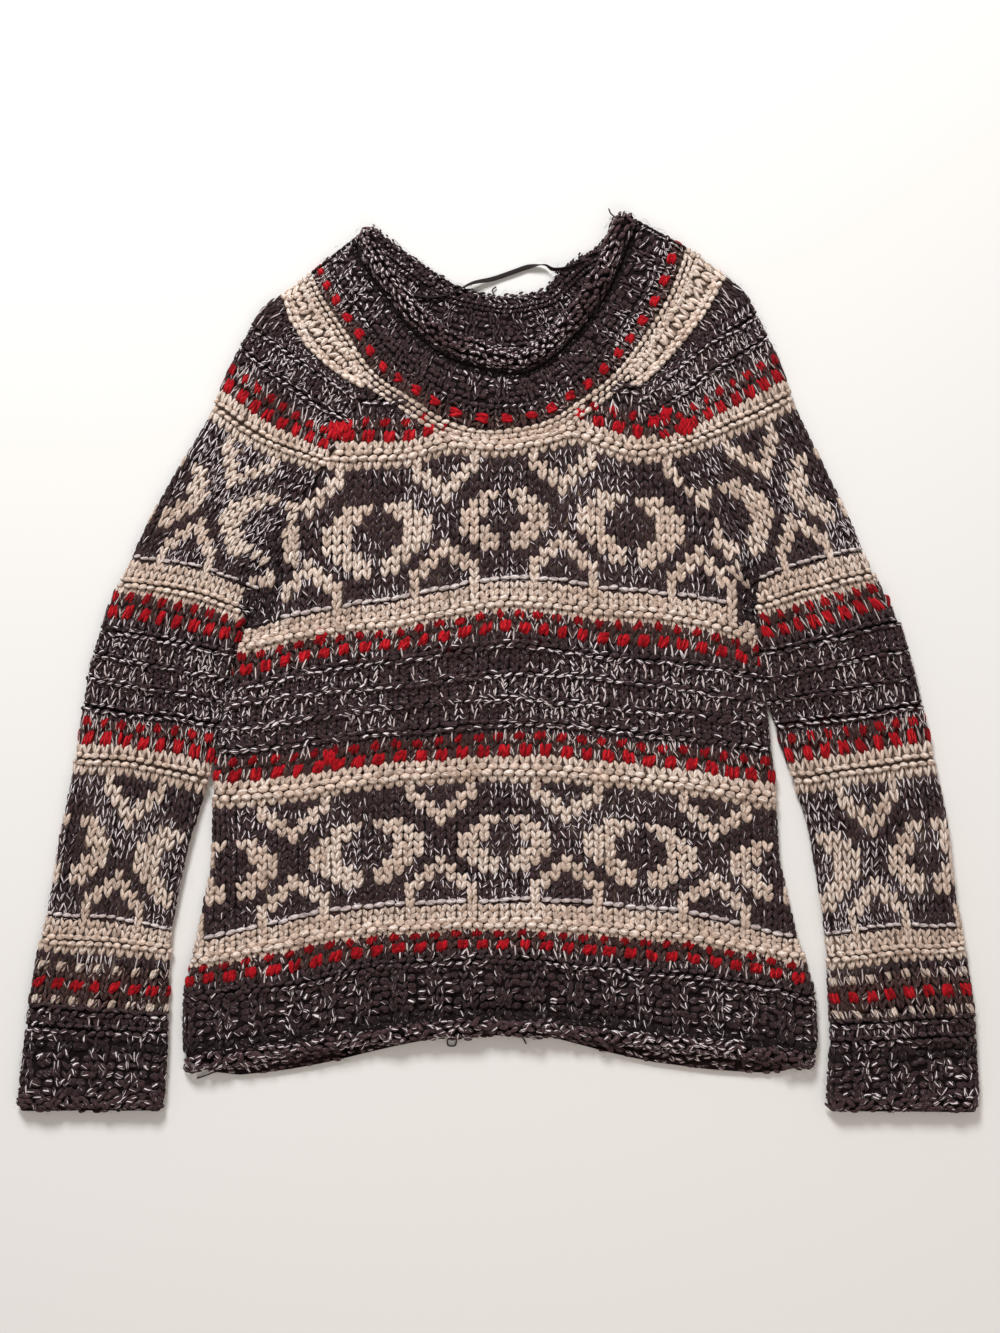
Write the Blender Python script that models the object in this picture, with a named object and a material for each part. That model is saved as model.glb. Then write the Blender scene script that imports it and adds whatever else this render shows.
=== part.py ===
"""Fair isle sweater with raglan sleeves, lying flat with its front up.

Tables are in millimetres on the surface it lies on: x to the right, y towards the neck, and
heights from that surface up. Every piece is a wall of knitted cloth between an outer and an inner
grid of points, closed along its edges. Sleeves, cuffs, neckband and hem band are flattened tubes,
open at both ends. The front and back panels meet along the sides.
"""

import math

import bmesh
import bpy
from mathutils import Matrix, Vector

MM = 0.001

# Cloth
WALL = 4.0
LAYERS_HALF = 4.75
HOLLOW_HALF = 0.75
SEAM_GAP = 0.3
RIB_DEPTH = 0.9
ROLL_RISE = 3.4
CUFF_ROLL_RISE = 1.4
CREASE_HOLLOW = 1.2
FOLD_ANGLES = (30.0, 60.0, 90.0)
FLAT_EDGE_STEP = 1.6
CENTRE = (0.75, -0.75)

# Rows of the front panel from the hem band up to the underarm, then along the raglan seams.
# side: 1 where the edge is a side fold, 0 where it is a raglan seam.
# (name, left x, left y, middle y, right x, right y, side)
FRONT_ROWS = (
    ("hem seam", -243.5, -246.5, -228.5, 243.5, -246.5, 1),
    ("dashes below motifs", -235.5, -212.0, -184.0, 231.5, -210.0, 1),
    ("middle of motifs", -224.5, -159.0, -137.5, 218.5, -154.5, 1),
    ("beige ridge", -223.0, -100.0, -82.5, 215.5, -98.5, 1),
    ("red dashes", -220.0, -65.5, -50.0, 212.0, -65.5, 1),
    ("dark ridges", -214.0, -32.0, -12.5, 208.5, -28.0, 1),
    ("upper beige ridge", -201.5, 18.5, 47.0, 200.5, 18.5, 1),
    ("underarm", -185.0, 50.0, 72.0, 197.5, 50.0, 1),
)
RAGLAN_MIDDLES = (90.5, 112.5, 140.5, 169.5, 173.5)

# Raglan seams from the underarm to the neckband.
# (x, y)
RAGLAN_LEFT = (
    (-185.0, 50.0),
    (-174.5, 75.0),
    (-164.0, 100.5),
    (-150.5, 130.5),
    (-132.5, 161.5),
    (-115.5, 192.5),
    (-100.5, 224.0),
)
RAGLAN_RIGHT = (
    (197.5, 50.0),
    (190.5, 73.5),
    (174.0, 104.5),
    (154.5, 130.5),
    (128.5, 164.5),
    (111.5, 196.5),
    (99.0, 230.0),
)
BACK_RAGLAN_LEFT = (
    (-185.0, 50.0),
    (-174.5, 75.0),
    (-163.0, 104.5),
    (-150.0, 139.5),
    (-134.0, 181.0),
    (-118.5, 221.5),
    (-104.5, 259.0),
)
BACK_RAGLAN_RIGHT = (
    (197.5, 50.0),
    (190.5, 73.5),
    (174.0, 107.5),
    (155.0, 145.0),
    (135.0, 184.0),
    (117.0, 223.0),
    (102.0, 263.5),
)

# Neckband stations from the left shoulder fold, over the front or the back, to the right fold.
# Stations 3 and 9 are the raglan corners.
# (seam x, seam y, free edge x, free edge y)
NECK_FRONT = (
    (-149.0, 300.5, -99.0, 340.0),
    (-137.5, 277.5, -94.5, 321.5),
    (-119.5, 251.0, -80.5, 299.5),
    (-100.5, 224.0, -63.0, 277.5),
    (-73.5, 204.5, -46.0, 261.5),
    (-42.0, 185.5, -24.0, 251.0),
    (1.0, 177.0, 0.0, 243.5),
    (41.5, 185.5, 18.0, 241.0),
    (72.5, 204.5, 36.0, 250.5),
    (99.0, 230.0, 50.5, 267.0),
    (119.5, 256.5, 66.5, 286.5),
    (137.5, 288.0, 81.0, 313.5),
    (150.5, 320.5, 96.0, 351.0),
)
NECK_BACK = (
    (-149.0, 300.5, -99.0, 340.0),
    (-135.5, 285.5, -89.5, 334.0),
    (-120.0, 271.5, -77.0, 324.5),
    (-104.5, 259.0, -61.5, 313.5),
    (-77.0, 243.5, -46.0, 303.5),
    (-38.0, 231.0, -29.0, 294.0),
    (1.0, 226.0, -8.0, 288.0),
    (36.0, 231.0, 15.5, 286.5),
    (71.0, 245.0, 36.0, 291.5),
    (102.0, 263.5, 45.0, 304.0),
    (121.5, 280.0, 57.0, 314.5),
    (138.0, 299.5, 78.0, 324.5),
    (150.5, 320.5, 96.0, 351.0),
)
RAGLAN_CORNERS = (3, 9)
NECK_RIB_COLUMNS = 4

# Rings of the neckband from its seam to its free edge.
# (name, share of the way, rise of the front's outside, share of the rib relief)
NECK_RINGS = (
    ("seam", 0.0, 0.0, 0.0),
    ("end of ribs", 0.3, 0.0, 1.0),
    ("start of ribs", 0.76, -0.4, 1.0),
    ("roll, outer side", 0.84, 0.6 * ROLL_RISE, 0.0),
    ("roll, crest", 0.91, ROLL_RISE, 0.0),
    ("free edge", 1.0, 0.1 * ROLL_RISE, 0.0),
)

# Rows of the sleeves from the cuff seam up to the underarm.
# (name, inner x, inner y, outer x, outer y)
SLEEVE_LEFT_ROWS = (
    ("cuff seam", -259.0, -268.5, -367.5, -264.5),
    ("beige ridge", -258.0, -228.5, -359.5, -220.5),
    ("dashes", -256.0, -205.0, -353.5, -198.0),
    ("middle of motifs", -243.5, -145.0, -343.0, -135.5),
    ("upper ridge", -227.0, -89.0, -330.5, -72.5),
    ("dark ridges", -213.5, -20.5, -320.0, -3.0),
    ("red dashes", -202.0, 22.5, -305.0, 46.0),
    ("underarm", -189.5, 45.0, -289.5, 75.5),
)
SLEEVE_RIGHT_ROWS = (
    ("cuff seam", 258.0, -273.0, 371.5, -271.5),
    ("beige ridge", 256.5, -225.5, 363.5, -219.0),
    ("dashes", 252.0, -188.0, 356.5, -182.5),
    ("middle of motifs", 242.5, -129.5, 350.0, -123.0),
    ("upper ridge", 228.0, -84.0, 338.5, -68.5),
    ("dark ridges", 210.0, -30.5, 327.0, -18.5),
    ("red dashes", 203.5, 12.5, 315.0, 28.0),
    ("underarm", 199.5, 45.0, 289.5, 75.0),
)
# Outer fold of the sleeves from the underarm row to the shoulder.
# (x, y)
SHOULDER_LEFT = (
    (-289.5, 75.5),
    (-275.5, 108.5),
    (-251.0, 151.5),
    (-227.0, 190.5),
    (-211.5, 229.5),
    (-185.0, 279.0),
    (-149.0, 300.5),
)
SHOULDER_RIGHT = (
    (289.5, 75.0),
    (273.0, 114.5),
    (254.5, 153.0),
    (232.5, 196.5),
    (218.5, 237.0),
    (192.0, 291.5),
    (150.5, 320.5),
)

# Rings of the cuffs from the sleeve to the wrist edge.
# (name, inner x, inner y, outer x, outer y, rise, share of the rib relief)
CUFF_LEFT_RINGS = (
    ("seam", -259.0, -268.5, -367.5, -264.5, 0.0, 0.0),
    ("start of ribs", -259.0, -288.5, -369.5, -288.5, 0.0, 1.0),
    ("end of ribs", -261.5, -334.0, -375.0, -334.0, -0.3, 1.0),
    ("roll, crest", -262.0, -341.5, -376.0, -341.5, CUFF_ROLL_RISE, 0.3),
    ("wrist edge", -263.5, -348.0, -374.5, -348.5, -0.4 * CUFF_ROLL_RISE, 0.0),
)
CUFF_RIGHT_RINGS = (
    ("seam", 258.0, -273.0, 371.5, -271.5, 0.0, 0.0),
    ("start of ribs", 259.0, -293.5, 372.0, -293.5, 0.0, 1.0),
    ("end of ribs", 256.5, -335.5, 374.5, -335.5, -0.3, 1.0),
    ("roll, crest", 256.5, -342.0, 374.5, -342.0, CUFF_ROLL_RISE, 0.3),
    ("wrist edge", 258.0, -348.5, 373.0, -349.5, -0.4 * CUFF_ROLL_RISE, 0.0),
)
CUFF_FRONT_COLUMNS = 16
CUFF_BACK_COLUMNS = 6

# Rings of the hem band from the panels to the rolled edge, over the front.
# (name, left x, left y, middle y, right x, right y, rise, share of the rib relief)
HEM_RINGS = (
    ("seam", -243.5, -246.5, -228.5, 243.5, -246.5, 0.0, 0.0),
    ("start of ribs", -246.5, -256.0, -235.5, 246.5, -256.0, 0.0, 1.0),
    ("end of ribs", -246.5, -291.0, -270.5, 248.0, -288.0, -0.3, 1.0),
    ("roll, crest", -245.5, -302.5, -281.0, 247.5, -301.0, ROLL_RISE, 0.2),
    ("rolled edge", -243.5, -310.5, -289.5, 244.0, -309.0, -0.2 * ROLL_RISE, 0.0),
)
# Lower edge of the hem band's back layer, which shows below the front near both sides.
# (x, y)
HEM_BACK_EDGE = (
    (-243.5, -310.5),
    (-226.0, -319.0),
    (-206.0, -322.0),
    (-170.0, -318.5),
    (-132.0, -311.5),
    (-90.0, -301.0),
    (-40.0, -291.0),
    (1.0, -288.0),
    (40.0, -292.0),
    (80.0, -302.5),
    (115.0, -311.0),
    (165.0, -317.5),
    (211.5, -320.5),
    (230.0, -317.5),
    (244.0, -309.0),
)
HEM_FRONT_COLUMNS = 72
HEM_BACK_COLUMNS = 24

# Soft ridges where the cloth bunches.
# (name, start x, start y, end x, end y, width, height)
CREASES = (
    ("left side fold", -167.0, 93.0, -168.5, 33.0, 8.0, 6.5),
    ("left sleeve's inner edge", -201.5, 81.0, -209.0, 8.0, 11.0, 4.5),
    ("right side fold", 185.0, 90.5, 187.0, 48.0, 8.0, 5.5),
    ("right sleeve's inner edge", 211.0, 81.0, 214.0, 10.0, 11.0, 4.5),
    ("left yoke", -196.0, 208.0, -150.0, 236.0, 12.0, 2.0),
    ("right yoke", 196.0, 205.0, 150.0, 240.0, 12.0, 2.0),
    ("left elbow", -330.0, -30.0, -250.0, -58.0, 12.0, 2.0),
    ("right elbow", 322.0, -38.0, 245.0, -62.0, 12.0, 2.0),
)
SIDE_SHARES = (0.03, 0.055, 0.085)

# Hanger loop: its sewn tail on the back of the neckband, then the free loop.
# (x, y, height of its centre)
LOOP_RADIUS = 1.1
LOOP_POINTS = (
    (-66.0, 296.0, 5.5),
    (-46.0, 293.5, 5.5),
    (-28.0, 290.0, 5.5),
    (-24.0, 296.5, 5.6),
    (-14.0, 300.0, 3.6),
    (-1.0, 302.5, 1.4),
    (11.0, 307.0, 1.4),
    (22.5, 312.0, 1.4),
    (34.0, 313.5, 3.6),
    (40.5, 309.0, 5.6),
    (47.0, 301.5, 5.6),
    (51.0, 296.0, 5.5),
)

# (name, red, green, blue, roughness)
MATERIALS = {
    "front": (0.085, 0.068, 0.070, 0.95),
    "back": (0.085, 0.068, 0.070, 0.95),
    "sleeve_left": (0.085, 0.068, 0.070, 0.95),
    "sleeve_right": (0.085, 0.068, 0.070, 0.95),
    "neckband": (0.050, 0.038, 0.040, 0.95),
    "hem_band": (0.050, 0.038, 0.040, 0.95),
    "cuff_left": (0.050, 0.038, 0.040, 0.95),
    "cuff_right": (0.050, 0.038, 0.040, 0.95),
    "hanger_loop": (0.020, 0.014, 0.012, 0.80),
}


def mix(start, end, share):
    """The value or point a share of the way from start to end."""
    if isinstance(start, tuple):
        return tuple(a + (b - a) * share for a, b in zip(start, end))
    return start + (end - start) * share


def path_length(path):
    """The length of a line through points."""
    return sum(math.dist(a, b) for a, b in zip(path, path[1:]))


def point_along(path, distance):
    """The point at a distance from the start of a line through points."""
    left = distance
    for a, b in zip(path, path[1:]):
        step = math.dist(a, b)
        if left <= step:
            return mix(a, b, left / step)
        left -= step
    return path[-1]


def divided(path, parts):
    """The line with each stretch cut into equal parts."""
    points = []
    for a, b in zip(path, path[1:]):
        points += [mix(a, b, i / parts) for i in range(parts)]
    return points + [path[-1]]


def straight(start, end, columns):
    """A straight line in equal columns."""
    return [mix(start, end, i / columns) for i in range(columns + 1)]


def shifted(path, distance):
    """The line moved sideways, to the left of its direction."""
    moved = []
    for i, (x, y) in enumerate(path):
        before = path[max(i - 1, 0)]
        after = path[min(i + 1, len(path) - 1)]
        run = math.dist(before, after)
        moved.append((
            x - (after[1] - before[1]) / run * distance,
            y + (after[0] - before[0]) / run * distance,
        ))
    return moved


def arched(left, middle_y, right, share):
    """A point of a knitted row, which arches through the height it has in the middle."""
    x = mix(left[0], right[0], share)
    y = (
        left[1] * (1 - share) * (1 - 2 * share)
        + middle_y * 4 * share * (1 - share)
        + right[1] * share * (2 * share - 1)
    )
    return (x, y)


def height_at(path, x):
    """The y of a line, which runs from left to right, at an x."""
    for a, b in zip(path, path[1:]):
        if x <= b[0]:
            return mix(a[1], b[1], (x - a[0]) / (b[0] - a[0]))
    return path[-1][1]


def crease_rise(x, y):
    """How far the creases raise the front of the cloth at a point."""
    rise = 0.0
    for _, x0, y0, x1, y1, width, height in CREASES:
        along_x = x1 - x0
        along_y = y1 - y0
        share = ((x - x0) * along_x + (y - y0) * along_y) / (along_x**2 + along_y**2)
        share = min(max(share, 0.0), 1.0)
        distance = math.hypot(x - x0 - along_x * share, y - y0 - along_y * share)
        rise += height * math.exp(-((distance / width) ** 2))
    return rise


def layer_height(x, y, up, half, extra, roundness, lowest=0.0):
    """The height of a point of one layer's outside or inside."""
    rise = crease_rise(x, y) if up > 0 else 0.0
    if half == HOLLOW_HALF:
        rise = min(rise, CREASE_HOLLOW)
        extra = 0.0
    return LAYERS_HALF + up * (lowest + (half + rise + extra - lowest) * roundness)


def layer_line(path, up, half, inset, extras):
    """The points of one layer of a tube's ring between its two folds."""
    length = path_length(path)
    points = []
    for angle in FOLD_ANGLES:
        turn = math.radians(angle)
        x, y = point_along(path, inset + half * (1 - math.cos(turn)))
        points.append((x, y, layer_height(x, y, up, half, extras[0], math.sin(turn))))
    for (x, y), extra in zip(path[1:-1], extras[1:-1]):
        points.append((x, y, layer_height(x, y, up, half, extra, 1.0)))
    for angle in reversed(FOLD_ANGLES):
        turn = math.radians(angle)
        x, y = point_along(path, length - inset - half * (1 - math.cos(turn)))
        points.append((x, y, layer_height(x, y, up, half, extras[-1], math.sin(turn))))
    return points


def fold_point(front, back, inset, at_end):
    """The point of a ring where the front layer folds round to the back layer."""
    if at_end:
        front = front[::-1]
        back = back[::-1]
    x, y = mix(point_along(front, inset), point_along(back, inset), 0.5)
    return (x, y, LAYERS_HALF)


def ring(front, back, half, inset, extras):
    """A closed loop of points round a flattened tube."""
    flat = [0.0] * len(back)
    over = layer_line(front, 1, half, inset, extras)
    under = layer_line(back, -1, half, inset, flat)
    start = fold_point(front, back, inset, False)
    end = fold_point(front, back, inset, True)
    return [start] + over + [end] + under[::-1]


def edge_line(path, up, half, inset, side):
    """A row of a panel, whose ends turn down to the side seam where side is 1."""
    length = path_length(path)
    ends = []
    for i, angle in enumerate((0.0,) + FOLD_ANGLES):
        turn = math.radians(angle)
        distance = mix(i * FLAT_EDGE_STEP, inset + half * (1 - math.cos(turn)), side)
        ends.append((distance, mix(1.0, math.sin(turn), side)))
    lowest = SEAM_GAP / 2
    points = []
    for distance, roundness in ends:
        x, y = point_along(path, distance)
        points.append((x, y, layer_height(x, y, up, half, 0.0, roundness, lowest)))
    for x, y in path[1:-1]:
        points.append((x, y, layer_height(x, y, up, half, 0.0, 1.0, lowest)))
    for distance, roundness in reversed(ends):
        x, y = point_along(path, length - distance)
        points.append((x, y, layer_height(x, y, up, half, 0.0, roundness, lowest)))
    return points


def add_object(name, data, collection):
    """Put a piece into the collection with its own material."""
    red, green, blue, roughness = MATERIALS[name]
    material = bpy.data.materials.new(name)
    material.use_nodes = True
    shader = material.node_tree.nodes["Principled BSDF"]
    shader.inputs["Base Color"].default_value = (red, green, blue, 1.0)
    shader.inputs["Roughness"].default_value = roughness
    shader.inputs["Metallic"].default_value = 0.0
    data.materials.append(material)
    data.transform(Matrix.Translation(Vector((*CENTRE, 0.0)) * MM))
    collection.objects.link(bpy.data.objects.new(name, data))


def make_wall(name, outer, inner, wrapped, collection):
    """Close the space between an outer and an inner grid of points into one body."""
    columns = len(outer[0])
    layer = len(outer) * columns
    points = [Vector(p) * MM for row in outer + inner for p in row]
    around = columns if wrapped else columns - 1
    faces = []
    for row in range(len(outer) - 1):
        for column in range(around):
            a = row * columns + column
            b = row * columns + (column + 1) % columns
            faces.append((a, b, b + columns, a + columns))
            faces.append((layer + a, layer + a + columns, layer + b + columns, layer + b))
    for first in (0, layer - columns):
        for column in range(around):
            a = first + column
            b = first + (column + 1) % columns
            faces.append((a, b, layer + b, layer + a))
    if not wrapped:
        for first in (0, columns - 1):
            for row in range(len(outer) - 1):
                a = first + row * columns
                faces.append((a, a + columns, layer + a + columns, layer + a))
    mesh = bpy.data.meshes.new(name)
    mesh.from_pydata(points, [], faces)
    shape = bmesh.new()
    shape.from_mesh(mesh)
    bmesh.ops.recalc_face_normals(shape, faces=shape.faces)
    bmesh.ops.triangulate(shape, faces=shape.faces)
    shape.to_mesh(mesh)
    shape.free()
    add_object(name, mesh, collection)


def rib_reliefs(columns, rise, relief):
    """The rise of a ribbed ring's outside: two columns up, two columns down."""
    return [
        rise + (RIB_DEPTH * relief if column % 4 < 2 else 0.0) for column in range(columns + 1)
    ]


def make_tube(name, rings, collection):
    """A flattened tube from rings of (front line, back line, rises of the front's outside)."""
    outer = [ring(front, back, LAYERS_HALF, 0.0, extras) for front, back, extras in rings]
    inner = [ring(front, back, HOLLOW_HALF, WALL, extras) for front, back, extras in rings]
    make_wall(name, outer, inner, True, collection)


def panel_lines(left, right, middles, top, shares):
    """The lines of a panel's rows, the last one along its neckline."""
    lines = []
    for (x0, y0), middle_y, (x1, y1) in zip(left, middles, right):
        lines.append([arched((x0, y0), middle_y, (x1, y1), share) for share in shares])
    x0 = top[0][0]
    x1 = top[-1][0]
    lines.append([(mix(x0, x1, share), height_at(top, mix(x0, x1, share))) for share in shares])
    return lines


def inwards(line):
    """A panel's line kept half a seam's gap from what it is sewn to at both ends."""
    gap = SEAM_GAP / 2
    return [(line[0][0] + gap, line[0][1])] + line[1:-1] + [(line[-1][0] - gap, line[-1][1])]


def make_panel(name, up, raglan_left, raglan_right, middles, top, collection):
    """The front or back panel, from the hem band to the neckband."""
    sides = [row[6] for row in FRONT_ROWS] + [0] * (len(raglan_left) - 1)
    left = [(row[1], row[2]) for row in FRONT_ROWS] + list(raglan_left[1:-1])
    right = [(row[4], row[5]) for row in FRONT_ROWS] + list(raglan_right[1:-1])
    heights = [row[3] for row in FRONT_ROWS] + list(middles)
    corners = [(x - top[0][0]) / (top[-1][0] - top[0][0]) for x, _ in top]
    halfway = [(a + b) / 2 for a, b in zip(corners[1:-1], corners[2:-1])]
    ends = list(SIDE_SHARES) + [1 - share for share in SIDE_SHARES]
    shares = sorted(corners + halfway + ends)
    lines = panel_lines(left, right, heights, top, shares)
    lines = [inwards(line) for line in lines]
    lines[0] = [(x, y + SEAM_GAP / 2) for x, y in lines[0]]
    lines[-1] = [(x, y - SEAM_GAP) for x, y in lines[-1]]
    outer = [edge_line(line, up, LAYERS_HALF, 0.0, side) for line, side in zip(lines, sides)]
    inner = [edge_line(line, up, HOLLOW_HALF, WALL, side) for line, side in zip(lines, sides)]
    make_wall(name, outer, inner, False, collection)


def cap_rings(row, shoulder, seam):
    """Lines that fan out from the underarm row of a sleeve to its raglan and neckband seams."""
    start = straight((row[1], row[2]), (row[3], row[4]), len(seam) - 1)
    lines = []
    for step in range(1, len(shoulder)):
        share = step / (len(shoulder) - 1)
        chord = mix(shoulder[0], shoulder[-1], share)
        pull = (shoulder[step][0] - chord[0], shoulder[step][1] - chord[1])
        line = []
        for i, (a, b) in enumerate(zip(start, seam)):
            x, y = mix(a, b, share)
            weight = i / (len(seam) - 1)
            line.append((x + pull[0] * weight, y + pull[1] * weight))
        lines.append(line)
    return lines


def make_sleeve(name, rows, shoulder, front_seam, back_seam, turn, collection):
    """A sleeve from its cuff seam to its raglan seams; turn is 1 for the left, -1 for the right."""
    rings = []
    for row in rows:
        line = straight((row[1], row[2]), (row[3], row[4]), len(front_seam) - 1)
        rings.append((line, line))
    gap = SEAM_GAP / 2 * turn
    front = cap_rings(rows[-1], shoulder, shifted(front_seam, gap))
    back = cap_rings(rows[-1], shoulder, shifted(back_seam, gap))
    rings += list(zip(front, back))
    flat = [0.0] * len(front_seam)
    first = [(x, y + SEAM_GAP / 2) for x, y in rings[0][0]]
    rings[0] = (first, first)
    make_tube(name, [(f, b, flat) for f, b in rings], collection)


def make_cuff(name, table, collection):
    """A ribbed cuff from the sleeve to the rolled wrist edge."""
    rings = []
    for ring_name, inner_x, inner_y, outer_x, outer_y, rise, relief in table:
        gap = SEAM_GAP / 2 if ring_name == "seam" else 0.0
        ends = ((inner_x, inner_y - gap), (outer_x, outer_y - gap))
        rings.append((
            straight(*ends, CUFF_FRONT_COLUMNS),
            straight(*ends, CUFF_BACK_COLUMNS),
            rib_reliefs(CUFF_FRONT_COLUMNS, rise, relief),
        ))
    make_tube(name, rings, collection)


def make_hem_band(collection):
    """The ribbed hem band, whose back layer hangs lower than its front near both sides."""
    rings = []
    for number, (_, x0, y0, middle_y, x1, y1, rise, relief) in enumerate(HEM_RINGS):
        gap = SEAM_GAP / 2 if number == 0 else 0.0
        front_shares = [i / HEM_FRONT_COLUMNS for i in range(HEM_FRONT_COLUMNS + 1)]
        back_shares = [i / HEM_BACK_COLUMNS for i in range(HEM_BACK_COLUMNS + 1)]
        front = [arched((x0, y0), middle_y, (x1, y1), s) for s in front_shares]
        back = [arched((x0, y0), middle_y, (x1, y1), s) for s in back_shares]
        down = number / (len(HEM_RINGS) - 1)
        back = [(x, mix(y, height_at(HEM_BACK_EDGE, x), down**2)) for x, y in back]
        rings.append((
            [(x, y - gap) for x, y in front],
            [(x, y - gap) for x, y in back],
            rib_reliefs(HEM_FRONT_COLUMNS, rise, relief),
        ))
    make_tube("hem_band", rings, collection)


def make_neckband(collection):
    """The neckband from its seam to its rolled free edge."""
    front_seam = shifted([row[0:2] for row in NECK_FRONT], SEAM_GAP / 2)
    back_seam = shifted([row[0:2] for row in NECK_BACK], SEAM_GAP / 2)
    front_edge = [row[2:4] for row in NECK_FRONT]
    back_edge = [row[2:4] for row in NECK_BACK]
    rings = []
    for _, share, rise, relief in NECK_RINGS:
        front = [mix(a, b, share) for a, b in zip(front_seam, front_edge)]
        back = [mix(a, b, share) for a, b in zip(back_seam, back_edge)]
        front = divided(front, NECK_RIB_COLUMNS)
        rings.append((front, back, rib_reliefs(len(front) - 1, rise, relief)))
    make_tube("neckband", rings, collection)


def make_hanger_loop(collection):
    """The thin cord of the hanger loop."""
    curve = bpy.data.curves.new("hanger_loop", "CURVE")
    curve.dimensions = "3D"
    curve.bevel_depth = LOOP_RADIUS * MM
    curve.bevel_resolution = 2
    curve.use_fill_caps = True
    spline = curve.splines.new("POLY")
    spline.points.add(len(LOOP_POINTS) - 1)
    for point, (x, y, z) in zip(spline.points, LOOP_POINTS):
        point.co = (x * MM, y * MM, z * MM, 1.0)
    add_object("hanger_loop", curve, collection)


def main():
    for old in list(bpy.data.objects):
        bpy.data.objects.remove(old, do_unlink=True)
    sweater = bpy.data.collections.new("fair_isle_sweater")
    bpy.context.scene.collection.children.link(sweater)

    neck_front = [row[0:2] for row in NECK_FRONT]
    neck_back = [row[0:2] for row in NECK_BACK]
    left, right = RAGLAN_CORNERS
    make_panel(
        "front", 1, RAGLAN_LEFT, RAGLAN_RIGHT, RAGLAN_MIDDLES, neck_front[left:right + 1], sweater
    )
    back_middles = straight((72.0, 0.0), (neck_back[6][1], 0.0), len(BACK_RAGLAN_LEFT) - 1)
    make_panel(
        "back", -1, BACK_RAGLAN_LEFT, BACK_RAGLAN_RIGHT, [m for m, _ in back_middles[1:-1]],
        neck_back[left:right + 1], sweater,
    )
    make_sleeve(
        "sleeve_left", SLEEVE_LEFT_ROWS, SHOULDER_LEFT,
        list(RAGLAN_LEFT) + neck_front[left - 1::-1],
        list(BACK_RAGLAN_LEFT) + neck_back[left - 1::-1], 1, sweater,
    )
    make_sleeve(
        "sleeve_right", SLEEVE_RIGHT_ROWS, SHOULDER_RIGHT,
        list(RAGLAN_RIGHT) + neck_front[right + 1:],
        list(BACK_RAGLAN_RIGHT) + neck_back[right + 1:], -1, sweater,
    )
    make_neckband(sweater)
    make_hem_band(sweater)
    make_cuff("cuff_left", CUFF_LEFT_RINGS, sweater)
    make_cuff("cuff_right", CUFF_RIGHT_RINGS, sweater)
    make_hanger_loop(sweater)


main()
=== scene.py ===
"""Fair isle sweater lying flat, front up: shells of cloth with every stitch of yarn laid on them.

Tables are in millimetres on the surface the sweater lies on: x to the right, y towards the neck.
Rows of stitches are numbered from the beige ridge under the yoke, downwards.
"""

import functools
import math

import bmesh
import bpy
import numpy as np
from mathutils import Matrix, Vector
from mathutils.bvhtree import BVHTree
from mathutils.kdtree import KDTree


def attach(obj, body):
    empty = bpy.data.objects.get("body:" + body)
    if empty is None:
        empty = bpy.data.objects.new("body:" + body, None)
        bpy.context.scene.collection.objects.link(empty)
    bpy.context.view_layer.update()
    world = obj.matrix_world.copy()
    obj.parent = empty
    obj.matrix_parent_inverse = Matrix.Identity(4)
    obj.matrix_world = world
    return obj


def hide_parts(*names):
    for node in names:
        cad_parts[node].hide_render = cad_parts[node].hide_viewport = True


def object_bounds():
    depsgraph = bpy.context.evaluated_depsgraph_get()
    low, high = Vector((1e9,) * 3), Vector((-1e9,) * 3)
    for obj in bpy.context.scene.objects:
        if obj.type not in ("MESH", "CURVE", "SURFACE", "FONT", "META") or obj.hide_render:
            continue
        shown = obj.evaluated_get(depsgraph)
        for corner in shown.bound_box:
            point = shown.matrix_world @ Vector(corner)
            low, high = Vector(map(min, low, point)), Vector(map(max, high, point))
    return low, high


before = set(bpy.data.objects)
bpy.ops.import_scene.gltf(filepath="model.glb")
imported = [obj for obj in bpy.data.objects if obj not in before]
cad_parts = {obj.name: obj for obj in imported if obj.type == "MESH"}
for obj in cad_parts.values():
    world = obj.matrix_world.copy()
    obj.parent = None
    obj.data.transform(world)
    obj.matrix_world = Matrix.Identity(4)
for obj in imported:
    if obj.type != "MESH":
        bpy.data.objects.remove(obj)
cad_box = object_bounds()

MM = 0.001
SEED = 11

# Cloth: its folds, the tops of its two layers and the height between them.
FOLD_RADIUS = 4.75
LOWEST = 0.1
TOP_LAYER_TOP = 9.5
UNDER_LAYER_TOP = 4.0
LAYERS_PART = 6.5
SHELL_INSET = 0.7
FIELD_STEP = 2.5
FIELD_HALF = (390.0, 369.0)
ABOVE_ALL = 50.0
DOWN = Vector((0, 0, -1))

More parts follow.
